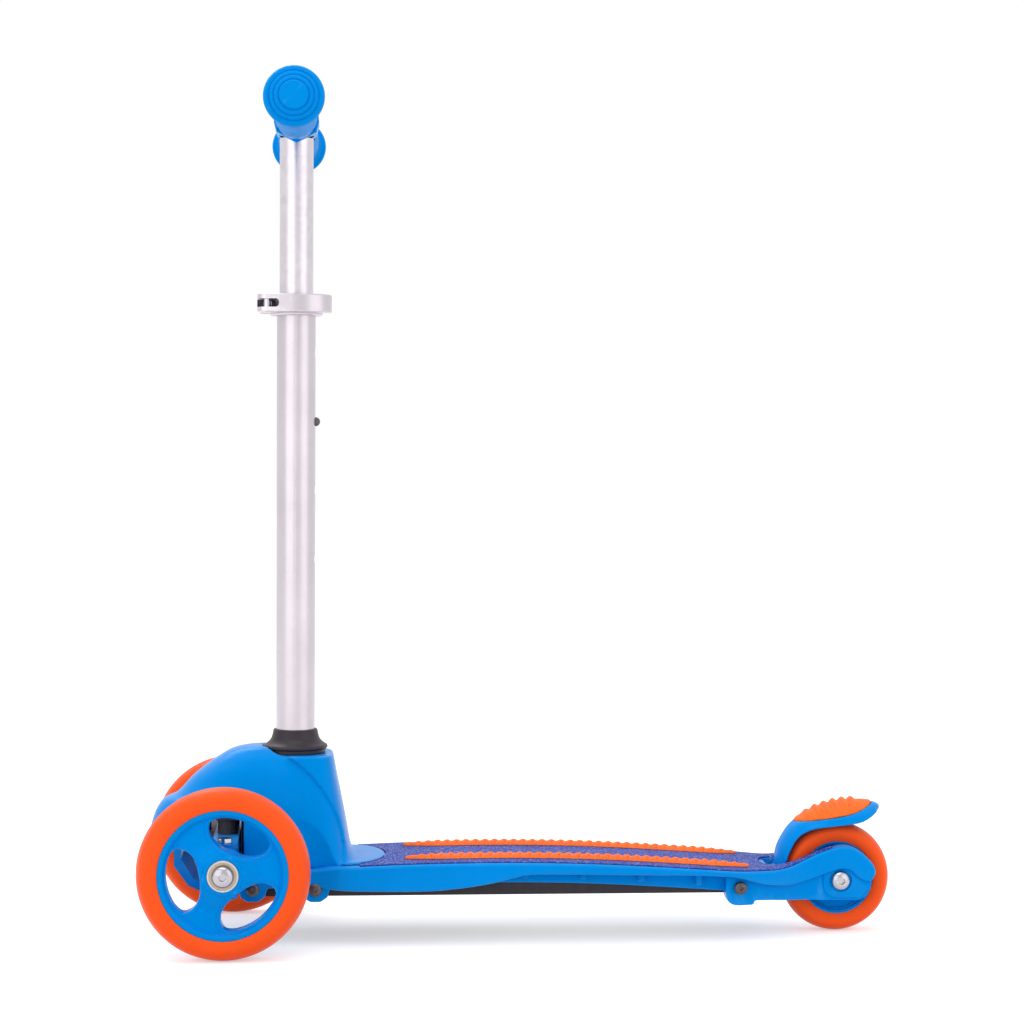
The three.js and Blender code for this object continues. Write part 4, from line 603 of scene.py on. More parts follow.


# In each finish the second colour and the edge amount give the lighter edges, which are rubbed wear and a painted
# highlight together.
FINISHES = {
    "blue": moulded(
        "blue_shell_plastic", (0, 136, 222), (90, 180, 245), (0.26, 0.38), wear_and_highlight_amount=0.25, dust=0.02,
        specular=0.3, drift=0.04, tint=(0, 190, 255),
    ),
    "blue_grip": moulded(
        "blue_grip_rubber", (0, 136, 220), (70, 170, 240), (0.42, 0.55), wear_and_highlight_amount=0.2, dust=0.02,
        grain=1400.0, specular=0.25, drift=0.04, tint=(0, 190, 255),
    ),
    "tyre": moulded(
        "orange_cast_tyre", (250, 86, 36), (255, 125, 80), (0.36, 0.48), wear_and_highlight_amount=0.15, dust=0.02,
        grain=500.0, depth=0.00003, specular=0.4, drift=0.04, tint=(255, 150, 60),
    ),
    "pad": moulded(
        "orange_tread_rubber", (250, 110, 42), (255, 165, 115), (0.42, 0.58), wear_and_highlight_amount=0.5, dust=0.03,
        grain=1600.0, specular=0.3, tint=(255, 170, 90),
    ),
    "sheet": glittered("violet_glitter_sheet", (62, 80, 168), (40, 56, 136), (128, 144, 216)),
    "black": moulded(
        "black_moulded_plastic", (36, 32, 37), (84, 78, 84), (0.4, 0.55), wear_and_highlight_amount=0.35, specular=0.3,
    ),
    "collar": moulded(
        "black_brown_collar_plastic", (46, 38, 46), (100, 88, 98), (0.36, 0.48), dust=0.02, specular=0.3,
    ),
    "frame": moulded(
        "black_powder_coat", (36, 32, 38), (90, 84, 90), (0.42, 0.55), wear_and_highlight_amount=0.3, dust=0.08,
        grain=2200.0, specular=0.3,
    ),
    "rubber": moulded("dark_bumper_rubber", (38, 36, 38), (80, 78, 80), (0.6, 0.75), dust=0.12),
    "aluminium": metal(
        "satin_anodised_aluminium", (202, 194, 201), (235, 230, 236), (0.26, 0.36), 1800.0, 0.85,
    ),
    "zinc": metal("bright_zinc_steel", (180, 178, 184), (225, 224, 230), (0.16, 0.26), 900.0),
    "dark_steel": metal("dull_dark_steel", (92, 84, 84), (150, 142, 140), (0.34, 0.5), 700.0),
    "brass": metal("brassy_bearing_shield", (168, 150, 124), (205, 190, 165), (0.25, 0.4), 900.0),
}
SLOTS = {
    "blue": "blue_plastic",
    "blue_grip": "blue_rubber",
    "tyre": "orange_tyre",
    "pad": "orange_rubber",
    "sheet": "grip_sheet",
    "black": "black_plastic",
    "collar": "black_plastic",
    "frame": "black_steel",
    "rubber": "bumper_rubber",
    "aluminium": "aluminium",
    "zinc": "zinc_steel",
    "dark_steel": "dark_steel",
    "brass": "zinc_steel",
}


def finish_kept_nodes():
    """Gives the model's own solids the first finish of their slot."""
    finishes = {slot: FINISHES[finish] for finish, slot in reversed(SLOTS.items())}
    for part in frame["record"]["subparts"]:
        for slot in frame["nodes"][part["node"]].material_slots:
            slot.material = finishes[part["material_slot"]]


# Wheels


def tyre_shell(radius, seat, lip):
    """A cast tyre with rounded shoulders, a lip over the rim's edge and a fine mould line."""
    shoulder, start = blend_value(seat, radius, 0.36), seat - lip + 0.5
    edge, fall = RIM_HALF + 0.05, TYRE_HALF - RIM_HALF - 0.75
    half = [(seat, 8.8), (seat, edge), (seat - lip, edge), (seat - lip, RIM_HALF + 0.3)]
    for i in range(9):
        short = 1 - i / 9
        half.append((blend_value(shoulder, start, short), TYRE_HALF - fall * short ** 2))
    crown = radius - 0.15 - shoulder
    half += [(shoulder + crown * sin ** 0.96, TYRE_HALF * cos) for cos, sin in quarter(14)[:-1]]
    half += [(radius - 0.12, 0.5), (radius, 0.25)]
    return lathe([(r, -y) for r, y in half] + half[::-1], sides=120)


def rim_shell(rim, lip):
    """The ring that carries the tyre, with a rounded lip and a fine groove on each face."""
    corners = [
        (rim, 0.6 - RIM_HALF, 0.0), (rim - 0.7, -RIM_HALF, 0.5), (lip + 1.3, -RIM_HALF, 0.5),
        (lip + 0.9, 0.7 - RIM_HALF, 0.4), (lip + 0.2, 0.8 - RIM_HALF, 0.4),
        (lip - 0.2, -WEB_HALF - 0.9, 0.8), (lip - 1.4, 0.5 - WEB_HALF, 0.0),
    ]
    return turned(mirrored_corners(corners), sides=120)


FIRST_WINDOW = 112.5  # degrees
WINDOW_SHARES = [
    (0.39, 0), (0.43, 21), (0.53, 34.5), (0.67, 40.5), (0.82, 39.5), (0.935, 33.5), (0.97, 18), (0.97, 0),
]
WINDOW_SHARES += [(share, -turn) for share, turn in WINDOW_SHARES[-2:0:-1]]


def facing_points(line, middle, goals):
    """Where the line crosses the ray from the middle towards each goal."""
    def turn_to(a, b):
        return math.atan2(b - middle[1], a - middle[0])

    turns = sorted((turn_to(a, b), a, b) for a, b in line)
    before = [(t - 2 * math.pi, a, b) for t, a, b in turns[-2:]]
    after = [(t + 2 * math.pi, a, b) for t, a, b in turns[:2]]
    turns = before + turns + after
    found = []
    for goal in goals:
        turn = turn_to(*goal)
        for (t0, a0, b0), (t1, a1, b1) in zip(turns, turns[1:]):
            if t0 <= turn <= t1:
                share = (turn - t0) / max(t1 - t0, 1e-9)
                found.append((blend_value(a0, a1, share), blend_value(b0, b1, share)))
                break
    return found


def dished(a, b):
    """The web's outer face, which rises smoothly to the bearing's mouth."""
    share = min(max((26.0 - math.hypot(a, b)) / 12.0, 0), 1)
    return WEB_HALF + (BOSS_HALF - WEB_HALF - 0.4) * share * share * (3 - 2 * share)


def spoke_web(outer, inner, lip):
    """The hub's web: three windows with rounded rims and an engraved line round each."""
    border, on_arc = [], []
    for steps, r0, r1, t0, t1 in (
        (40, outer, outer, -60, 60), (10, outer, inner, 60, 60),
        (20, inner, inner, 60, -60), (10, inner, outer, -60, -60),
    ):
        shares = [i / steps for i in range(steps)]
        border += [polar(blend_value(r0, r1, share), blend_value(t0, t1, share)) for share in shares]
        on_arc += [r0 == r1] * steps
    window = curved([polar(share * lip, turn) for share, turn in WINDOW_SHARES], 8, closed=True)
    rim = facing_points(window, (0.7 * lip, 0.0), border)
    drops = [(3.2, 0), (3.0, 0.3), (2.6, 0.3), (2.4, 0), (1.3, 0), (0.55, 0.25), (0.15, 0.75), (0, 1.5)]
    levels = [(border, 0)] + [(inset(rim, -out), drop) for out, drop in drops]
    rings = [[(a, dished(a, b) - drop, b) for a, b in line] for line, drop in levels]
    rings += [lifted(line, drop - WEB_HALF, "y") for line, drop in reversed(levels)]
    places, faces = [], []
    for k in range(3):
        cos, sin = polar(1, FIRST_WINDOW + 120 * k)
        start = len(places)
        for ring in rings:
            places += [(x * cos - z * sin, y, x * sin + z * cos) for x, y, z in ring]
        last = len(places) - len(border)
        for below in range(start, last, len(border)):
            faces += band(below, below + len(border), len(border))
        faces += band(last, start, len(border), on_arc)
    return places, faces


def boss_shell():
    """The hub's boss: a turned step on the inner face, flush with the dished web on the outer."""
    boss, pocket, half = BOSS_RADIUS, BEARING_RADIUS + 0.15, BOSS_HALF
    return turned([
        (pocket, 0.4 - half, 0.0), (pocket + 0.4, -half, 0.2), (boss - 1.6, -half, 0.3),
        (boss - 1.4, 0.6 - half, 0.3), (boss - 0.6, 0.8 - half, 0.8), (boss, 2.2 - half, 0.8),
        (boss + 0.5, -WEB_HALF - 0.6, 0.8), (boss + 1.6, 0.3 - WEB_HALF, 0.0),
        (boss + 0.6, 5.5, 0.0), (boss - 0.9, half - 0.9, 0.8), (boss - 2.4, half - 0.1, 0.6),
        (pocket + 0.5, half, 0.3), (pocket, half - 0.5, 0.0),
    ])


def disc_web(outer, inner):
    """The rear hub's closed web, with a shallow ring pressed into each face."""
    return turned(mirrored_corners([
        (inner, -5.2, 0.0), (inner + 3.2, -5.2, 0.8), (inner + 4.4, -4.2, 0.8),
        (outer - 3.4, -4.2, 0.8), (outer - 2.2, -5.4, 0.8), (outer, -5.4, 0.0),
    ]))


def bearing_shells(outward):
    """Outer race, inner race and shield of one ball bearing, facing outward along y."""
    face, back = BOSS_HALF, BOSS_HALF - BEARING_WIDTH

    def race(outer, inner, front, rim):
        return [(inner, back, 0), (outer, back, 0), (outer, front, rim), (inner, front, rim)]

    shield = [
        (5.9, back, 0), (9.4, back, 0), (9.4, face - 0.45, 0), (8.6, face - 0.45, 0.2),
        (8.2, face - 0.2, 0.3), (6.6, face - 0.3, 0.3), (5.9, face - 0.6, 0.2),
    ]
    rings = (race(BEARING_RADIUS, 9.4, face, 0.35), race(5.9, 4.35, face - 0.1, 0.3), shield)
    return [turned([(r, y * outward, rim) for r, y, rim in ring], sides=72) for ring in rings]


def socket_prism(across, low, high, middle=(0, 0), turn=0.0):
    """A hexagonal prism along y."""
    outline = arc(middle, *[across / math.sqrt(3)] * 2, turn, turn + 360, 6)[:-1]
    return loft([lifted(outline, low, "y"), lifted(outline, high, "y")])


def domed_bolt(shank_from, seat, radius, height):
    """A bolt along y whose domed head has a hexagonal socket."""
    top = seat + height
    corners = [(0, shank_from, 0), (AXLE_RADIUS, shank_from, 0.4), (AXLE_RADIUS, seat, 0)]
    corners += [(radius, seat, 0.25), (radius, seat + height * 0.3, 0.5)]
    profile = eased(corners, closed=False, steps=3)[:-1]
    profile += [(radius * cos, seat + height * (0.3 + 0.7 * sin)) for cos, sin in quarter(12)[1:-1]]
    rimmed = lathe([(0, top - 0.5), (2.6, top - 0.5), (3.3, top + 1), (0, top + 1)], sides=36)
    socket = socket_prism(5.0, top - 2.6, top + 1, turn=math.degrees(0.3))
    return cut(lathe(profile + [(0, top)], sides=72), socket, rimmed)


def add_wheel(side, centre, radius, rim, faces, flipped=False):
    """A wheel; the front hubs have windows and the rear one is closed."""
    def add(name, form, finish, *replaced):
        add_piece(side + name, shifted(form, centre, flipped), finish, side + "_wheel", replaced)

    windows, lip = side != "rear", rim - 4.5
    add("_wheel_tyre", tyre_shell(radius, rim + 0.15, 0.5 if windows else 2.6), "tyre", side + "_tyre")
    web_span = (lip + 1.6, BOSS_RADIUS - 1.4)
    web = spoke_web(*web_span, lip) if windows else disc_web(*web_span)
    add("_wheel_hub", joined(rim_shell(rim, lip), web, boss_shell()), "blue", side + "_hub")
    for face, outward in faces:
        name = f"_{face}_bearing"
        *races, shield = bearing_shells(outward)
        add(name + "_races", mesh_of(*races), "zinc", side + name)
        add(name + "_shield", shield, "brass")


def add_wheels():
    for side, turn in (("left", 1), ("right", -1)):
        centre, flipped = (0, turn * HALF_TRACK, FRONT_RADIUS), turn < 0
        add_wheel(side, centre, FRONT_RADIUS, FRONT_RIM, [("outer", 1), ("inner", -1)], flipped)
        bolt = shifted(domed_bolt(-22.0, BOSS_HALF + 0.3, 7.5, 5.5), centre, flipped)
        add_piece(side + "_wheel_bolt", bolt, "zinc", side + "_knuckle", [side + "_axle_bolt"])
    add_wheel("rear", REAR_AXLE, REAR_RADIUS, REAR_RIM, [("left", 1), ("right", -1)])
    bolt = shifted(domed_bolt(-26.0, 22.8, 6.85, 5.5), REAR_AXLE)
    add_piece("rear_wheel_bolt", bolt, "zinc", "chassis", ["rear_axle_bolt"])


# Front housing

HOOD_SHARES = [
    (0, 0.88, 0.99, 1), (0.21, 1, 0.985, 1), (0.4, 0.945, 0.95, 0.972), (0.5, 0.87, 0.93, 0.94),
    (0.55, 0.79, 0.918, 0.915), (0.59, 0.65, 0.91, 0.89), (0.72, 0.468, 0.88, 0.8),
    (0.8, 0.325, 0.862, 0.73), (0.87, 0.18, 0.848, 0.637), (0.905, 0.095, 0.842, 0.58),
    (0.948, -0.017, 0.83, 0.49), (0.971, -0.128, 0.82, 0.42), (0.983, -0.239, 0.8, 0.35),
    (0.986, -0.34, 0.78, 0.28),
]
FAIRING_SHARES = [
    (0, 1.09, 1.02), (0.035, 1.03, 0.985), (0.08, 0.975, 0.94), (0.15, 0.948, 0.885), (0.25, 0.93, 0.84),
    (0.36, 0.912, 0.795), (0.48, 0.89, 0.755), (0.6, 0.868, 0.705), (0.72, 0.845, 0.65),
    (0.83, 0.826, 0.6), (0.92, 0.81, 0.565),
]
NOSE, HOOD_REAR, HOOD_HALF = 57.0, 85.0, 40.0
FAIRING_FRONT, FAIRING_REAR, FAIRING_HALF = -30.0, 93.0, 51.0
ARCH_RADIUS, ARCH_FLARE = 83.0, 27.0
DECK_TOP_SHARES = [
    (0, 0.966), (0.05, 0.968), (0.14, 0.985), (0.26, 0.997), (0.38, 1), (0.48, 0.992),
    (0.57, 0.977), (0.65, 0.957), (0.73, 0.932), (0.79, 0.911), (0.84, 0.893),
    (0.89, 0.873), (0.935, 0.858), (1, 0.848),
]
DECK_TOP = curved(from_shares(DECK_TOP_SHARES, -DECK_FRONT, DECK_FRONT - FORK_ROOT, 0, DECK_CROWN), 5)


def superellipse(front, rear, middle, half_width, power, steps=96):
    points = []
    for i in range(steps):
        cos, sin = polar(1, 360 * i / steps)
        reach = front - middle if cos > 0 else middle - rear
        points.append((middle + reach * bulged(cos, power), half_width * bulged(sin, power)))
    return points


def housing_shell(rows, sizes, middle, power, wall, floor):
    """A body from (level, front, rear, width) shares, drawn in by the wall on every side."""
    rings = []
    for i, (level, front, rear, width) in enumerate(rows):
        height = floor if i == 0 else blend_value(BASE_TOP, HOUSING_TOP, level) - wall
        ends = (sizes[0] * front - wall, wall - sizes[1] * rear)
        line = superellipse(*ends, middle, sizes[2] * width - wall, power)
        rings.append(lifted(line, height, "z"))
    return loft(rings)


def hood_shell(wall, floor):
    return housing_shell(curved(HOOD_SHARES, 3), (NOSE, HOOD_REAR, HOOD_HALF), -30, 0.77, wall, floor)


def fairing_shell(wall, floor):
    rows = [(level, 1, rear, width) for level, rear, width in curved(FAIRING_SHARES, 4)]
    return housing_shell(rows, (FAIRING_FRONT, FAIRING_REAR, FAIRING_HALF), -60, 0.59, wall, floor)


def rounded_end(end, middle, reach, half, steps):
    """An outline from x = end to an oval end that reaches past the middle."""
    return [(end, -half), *arc((middle, 0), reach, half, -90, 90, steps), (end, half)]


def tongue_shell():
    """The oval tongue of the housing that lies on the deck behind it, thin at its edge."""
    rings = []
    for drawn, lift in ((0.0, 0.35), (0.1, 0.8), (0.9, 1.5), (1.8, 1.9), (3.4, 1.95)):
        outline = rounded_end(-DECK_FRONT + 2, -DECK_FRONT - 6, drawn - 27, 44 - drawn, 48)
        rings.append([(x, y, height_at(DECK_TOP, x) + lift) for x, y in outline])
    return loft(rings)


def arch_shells():
    """The room round each front wheel, flaring out of the hood's side to the arch."""
    profile = [(0, 37.4), (ARCH_RADIUS - ARCH_FLARE, 37.4)]
    profile += [(ARCH_RADIUS - ARCH_FLARE * (1 - sin), 37.5 + 12.5 * (1 - cos)) for cos, sin in quarter(12)]
    profile += [(ARCH_RADIUS, 110), (0, 110)]
    left = lathe(profile, "y", (0, 0, FRONT_RADIUS), 160)
    return [left, mirrored(left)]


def add_housing():
    floor, axle = BASE_TOP + 0.3, (0, 0, FRONT_RADIUS)
    arch_inside = round_bar(ARCH_RADIUS + HOUSING_WALL, "y", -110, 110, axle, sides=120)
    edge = bore(84.5, "y", -110, 110, axle, 160)
    behind_arch = cut(fairing_shell(0, floor), *arch_shells(), edge)
    beside_hood = cut(fairing_shell(1.7, floor), *arch_shells())
    outer = joined(behind_arch, beside_hood, hood_shell(0, floor), tongue_shell())
    inner = joined(cut(fairing_shell(HOUSING_WALL, 40), arch_inside), hood_shell(HOUSING_WALL, 40))
    inner = kept_inside(inner, box((-DECK_FRONT, -60, 30), (60, 60, PLATFORM - HOUSING_WALL)))
    form = cut(
        outer,
        inner,
        box((-170, -110, 0), (-80.2, 110, 57.3)),
        box((-12, -60, 0), (110, 60, 72)),
        round_bar(23.8, "z", PLATFORM, 150, COLUMN),
        box((-95, -60, PLATFORM), (COLUMN_X, 60, 150)),
        round_bar(14.5, "z", 110, 160, COLUMN),
        slab([(-12, 60, 0), (-12, 98, 9), (38, 98, 9), (38, 60, 0)], -90, 90, rim=SHARP, ease=6),
    )
    add_piece("housing_hood", softened(form, 1.15, 5), "blue", "chassis", ["front_housing"], crease=60)


# Column

TUBE_RADIUS, BUTTON_HEIGHT, HOLE_PITCH = 14.0, 373.0, 50.0


def add_column():
    inner = TUBE_RADIUS - 1.2
    tube = [(inner, 58.1, 0), (TUBE_RADIUS, 58.1, 0.3), (TUBE_RADIUS, 463, 0.5), (inner, 463, 0.3)]
    heights = [BUTTON_HEIGHT + HOLE_PITCH * (i - 2) for i in range(4)]
    holes = [round_bar(4.0, "x", COLUMN_X - 20, COLUMN_X, (0, 0, height)) for height in heights]
    add_piece("column_lower_tube", cut(turned(tube, "z", COLUMN), *holes), "aluminium", "chassis", ["lower_tube"])
    tube = [(10.75, 325, 0), (12.15, 325, 0.4), (12.15, 577.2, 0), (10.75, 577.2, 0)]
    hole = round_bar(3.8, "x", COLUMN_X - 20, COLUMN_X, (0, 0, BUTTON_HEIGHT))
    add_piece("column_upper_tube", cut(turned(tube, "z", COLUMN), hole), "aluminium", "handlebar", ["upper_tube"])
    flare = [
        (22.3, 2.7), (23.2, 3.5), (23.3, 4.6), (22.7, 5.6), (20.9, 6.7), (19.2, 8.1),
        (17.6, 10.2), (16.7, 12.7), (16.2, 15.2), (16.0, 16.2), (15.5, 16.9), (14.9, 17.0),
    ]
    profile = [(14.3, 0), (21.4, 0), (21.8, 0.4), (21.8, 2.4), *curved(flare, 4), (14.3, 17.0)]
    collar = lathe(profile, "z", (COLUMN_X, 0, PLATFORM + 0.3))
    add_piece("column_base_collar", collar, "collar", "chassis", ["base_collar"])


def add_snap_button():
    tip, seat, inside = -TUBE_RADIUS - 3.3, -9.2, -7.6
    profile = [(0, tip), (1.2, tip + 0.15), (2.3, tip + 0.8), (3.0, tip + 1.8), (3.35, tip + 3.1), (3.4, seat)]
    profile += [(4.3, seat), (4.3, inside), (0, inside)]
    dome = lathe(profile, "x", (COLUMN_X, 0, BUTTON_HEIGHT), 48)
    add_piece("snap_button_dome", dome, "dark_steel", "snap_button", ["snap_button"])


# Clamp with its quick release lever

CLAMP_BOTTOM, CLAMP_TOP = 449.4, 464.0
LEVER_BOTTOM, LEVER_TOP, LEVER_SWEEP = 451.0, 464.3, 3.4
CLAMP_MIDDLE = (LEVER_BOTTOM + LEVER_TOP) / 2
EAR_OUTER, EAR_FRONT = 9.5, COLUMN_X + 14.3 + 12
CLAMP_BOLT_X, LEVER_PIN_Y = EAR_FRONT - 6 + 0.3, EAR_OUTER + 0.3 + 7


def add_clamp_collar():
    ring = turned([
        (14.3, CLAMP_BOTTOM, 0.3), (18.2, CLAMP_BOTTOM, 0.6), (19, CLAMP_BOTTOM + 1.2, 0.6),
        (19, CLAMP_TOP - 0.2, 0.8), (14.3, CLAMP_TOP, 0.5),
    ], "z", COLUMN)
    ears = [
        (COLUMN_X + 12, -EAR_OUTER, 0), (EAR_FRONT, -EAR_OUTER, 3),
        (EAR_FRONT, EAR_OUTER, 3), (COLUMN_X + 12, EAR_OUTER, 0),
    ]
    collar = cut(
        joined(ring, slab(ears, LEVER_BOTTOM, CLAMP_TOP, "z", 0.8)),
        bore(14.3, "z", 440, 480, COLUMN, 96),
        box((COLUMN_X, -1.5, 440), (0, 1.5, 480), 0.05),
        bore(2.8, "y", -30, 30, (CLAMP_BOLT_X, 0, CLAMP_MIDDLE)),
    )
    add_piece("clamp_split_collar", collar, "aluminium", "chassis", ["clamp_collar"])


def add_clamp_lever():
    outline = []
    for i in range(41):
        share = i / 40
        cos, sin = polar(1, blend_value(38, 160, share))
        reach = 25.1 + 0.6 * math.sin(math.pi * share) ** 2 - 12 * max(0, share - 0.9)
        reach = min(reach, 25.3)
        outline.append((COLUMN_X + (reach + LEVER_SWEEP) * cos, reach * sin))
    outline += arc((COLUMN_X, 0), 20.3 + LEVER_SWEEP, 20.3, 160, 38, 40)
    bridge = [(4, 25.1), (12, 24.7), (20.6, 23.8), (20.6, 16), (16, 17), (12, 18.2), (8, 19.6), (4, 20.4)]
    pin = (CLAMP_BOLT_X, LEVER_PIN_Y, 0)
    lever = joined(
        plate(outline, LEVER_BOTTOM, LEVER_TOP, "z", 1.2, 4),
        round_bar(7.0, "z", LEVER_BOTTOM, LEVER_TOP, pin, 1.2, 64),
        plate([(COLUMN_X + a, b) for a, b in bridge], LEVER_BOTTOM, LEVER_TOP, "z", 1.2, 4),
    )
    slot = rectangle((CLAMP_BOLT_X - 8.6, CLAMP_MIDDLE - 3), (CLAMP_BOLT_X + 22, CLAMP_MIDDLE + 3), 2.6)
    slot = slab(slot, LEVER_PIN_Y - 14, LEVER_PIN_Y + 14, rim=SHARP)
    lever = cut(lever, slot, bore(2.8, "z", 440, 480, pin))
    add_piece("clamp_release_lever", lever, "aluminium", "clamp_lever", ["clamp_lever"])
    low, high = CLAMP_MIDDLE - 2.9, CLAMP_MIDDLE + 2.9
    corner = (EAR_FRONT + 1.6, EAR_OUTER + 1.2, high)
    wear_plate = cut(
        joined(
            box((EAR_FRONT - 18, EAR_OUTER + 0.05, low), corner, 0.3),
            box((EAR_FRONT + 0.1, 2.5, low), corner, 0.3),
        ),
        bore(3.2, "y", 0, 20, (CLAMP_BOLT_X, 0, CLAMP_MIDDLE)),
    )
    add_piece("clamp_wear_plate", wear_plate, "black", "chassis")


# Handlebar


def grip_shell():
    """A grip with a soft flange and stepped end, along y from the tee outward."""
    flange, body, inside = 20.8, 15.0, 11.3
    corners = [(0, 130, 0), (inside, 130, 0.2), (inside, 35, 0.2), (body - 0.4, 35, 0.6), (body, 36.2, 0.6)]
    for i in range(11):
        start = 44 + 7.4 * i
        corners += [(body, start, 0.4), (body - 0.5, start + 0.5, 0.4)]
        corners += [(body - 0.5, start + 1.3, 0.4), (body, start + 1.8, 0.4)]
    corners += [
        (body, 129.5, 3.0), (flange - 3.2, 132.9, 1.5), (flange - 0.6, 133.2, 1.6), (flange, 135.2, 1.6),
        (flange - 0.7, 137.2, 1.2), (19.2, 138.1, 0.5), (17.4, 138.5, 0.5), (16.8, 138.0, 0.4),
        (15.8, 140.2, 0.6), (14.2, 140.8, 0.5), (13.6, 140.2, 0.4), (12.6, 142.4, 0.6), (10.8, 142.8, 0.5),
        (10.2, 142.2, 0.4), (9.2, 144.4, 0.7), (0, 145, 0),
    ]
    return lathe(eased(corners, closed=False))


def add_handlebar():
    bar = (COLUMN_X, 0, BAR_HEIGHT)
    barrel = [(11.3, -34, 0), (12.9, -34, 0.5), (13.5, -33, 0.6), (13.6, -24, 0), (13.6, -14, 0)]
    half_vee = [(14.3, -8.0, 0.8), (16.3, -0.5, 1.2), (15.2, 9.0, 3), (8.0, 15.3, 4)]
    vee = [(COLUMN_X, BAR_HEIGHT - 15.7, 0.8)]
    vee += [(COLUMN_X + x, BAR_HEIGHT + z, e) for x, z, e in half_vee]
    vee += [(COLUMN_X - x, BAR_HEIGHT + z, e) for x, z, e in reversed(half_vee)]
    tee = cut(
        joined(turned(mirrored_corners(barrel), "y", bar), slab(vee, -14, 14, "y", 0.9)),
        bore(12.45, "z", BAR_HEIGHT - 30, BAR_HEIGHT, COLUMN, 96),
        bore(11.3, "y", -50, 50, bar, 96),
    )
    add_piece("handlebar_tee_joint", tee, "blue", "handlebar", ["handlebar_tee"])
    for side, flipped in (("left", False), ("right", True)):
        grip = shifted(grip_shell(), bar, flipped)
        add_piece(side + "_hand_grip", grip, "blue_grip", "handlebar", [side + "_grip"])


# Deck

BAND_BOTTOM_SHARES = [
    (0, 0.678), (0.1, 0.664), (0.202, 0.666), (0.28, 0.702), (0.345, 0.756), (0.39, 0.815),
    (0.431, 0.855), (0.5, 0.857), (0.587, 0.848), (0.7, 0.838), (0.8, 0.831), (0.88, 0.812),
]
FORK_TOP_SHARES = [
    (-1.508, 0.43), (-1.185, 0.53), (-0.862, 0.665), (-0.538, 0.8), (-0.215, 0.91), (-0.02, 0.96),
    (0.173, 0.965), (0.369, 0.915), (0.569, 0.805), (0.765, 0.63), (0.908, 0.47), (0.985, 0.315),
    (0.99, 0.165), (0.89, 0.03),
]
FORK_HOOD_SHARES = [
    (-2.938, 0.219), (-2.588, 0.108), (-2.235, 0.015), (-1.885, -0.035), (-1.635, -0.058), (-1.385, -0.054),
    (-1.042, 0.012), (-0.688, 0.112), (-0.431, 0.208), (-0.204, 0.281), (-0.042, 0.319), (0.123, 0.327),
    (0.285, 0.277), (0.45, 0.131), (0.615, 0.019), (0.83, -0.03),
]
BAND_PLAN_SHARES = [(0, 0), (0.2, 0.06), (0.38, 0.22), (0.55, 0.45), (0.72, 0.72), (0.86, 0.92), (1, 1)]
BAND_PLAN = [(-a, b) for a, b in curved(BAND_PLAN_SHARES, 4)]
FRONT_FLARE = [(-50, 44.0), (-58, 44.3), (-66, 46.0), (-74, 48.8), (-81, 51.0), (-88, 51.9), (-96, 52.0)]
BASE_HALF, DECK_SKIN, DECK_WALL, WEB_HALF_WIDTH = 44.0, 4.5, 3.6, 34.6
CHANNEL_HALF, CHANNEL_TOP = 30.0, 47.5
DECK_START, ARM_START, PAN_END = -50, -346.0, -399.0
CROSS_BOLTS = [(-18.5, 40.4), (-63, 40), (-368.0, 38.7)]
BRAKE_PIVOT = (-399.5, 0, 44.0)


def fork_points(shares):
    return from_shares(shares, -WHEEL_BASE, -FORK_REACH, REAR_RADIUS, FORK_REACH)


BAND_BOTTOM = from_shares(BAND_BOTTOM_SHARES, -DECK_FRONT, DECK_FRONT - FORK_ROOT, 0, DECK_CROWN)
TOP_START = [(-50, 53.6), (-58, 53.9), (-66, 54.9), (-74, 56.4)]
BOTTOM_START = [(-50, 42.6), (-58, 42.2), (-66, 41.4), (-74, 40.6)]
TOP_LINE = curved(TOP_START + DECK_TOP[::5] + fork_points(FORK_TOP_SHARES))
BOTTOM_LINE = curved(BOTTOM_START + BAND_BOTTOM + fork_points(FORK_HOOD_SHARES))


def deck_half_at(x, wide=DECK_HALF, narrow=FORK_HALF):
    """Half the deck's width at x: flared at the front, drawn in to the fork at the rear."""
    if x > FRONT_FLARE[-1][0]:
        return min(height_at(FRONT_FLARE, x), wide)
    along = (-x - WHEEL_BASE * 0.778) / (WHEEL_BASE * 0.187)
    return blend_value(wide, narrow, height_at(BAND_PLAN, -along))


def deck_pan():
    """The top plate and its two side bands, as one tray open below."""
    rings = []
    x = DECK_START
    while x > PAN_END:
        top, bottom, half = height_at(TOP_LINE, x), height_at(BOTTOM_LINE, x), deck_half_at(x)
        if x < ARM_START - 6:
            top, bottom, half = top - 0.1, top - DECK_SKIN, half - 2.6
        inner = half - DECK_WALL
        rim, foot = min(2.6, (top - bottom) * 0.4), min(1.6, (top - bottom) * 0.3)
        side = [(inner, bottom)]
        side += [(half - foot * (1 - b), bottom + foot * (1 - a)) for a, b in quarter(3)]
        side += [(half - rim * (1 - a), top - rim * (1 - b)) for a, b in quarter(5)]
        under = max(top - DECK_SKIN, bottom + 0.5)
        ring = side + [(-y, z) for y, z in side[::-1]] + [(-inner, under), (inner, under)]
        rings.append([(x, y, z) for y, z in ring])
        x -= 3.0 if -90 > x > -340 else 1.5
    return loft(rings)


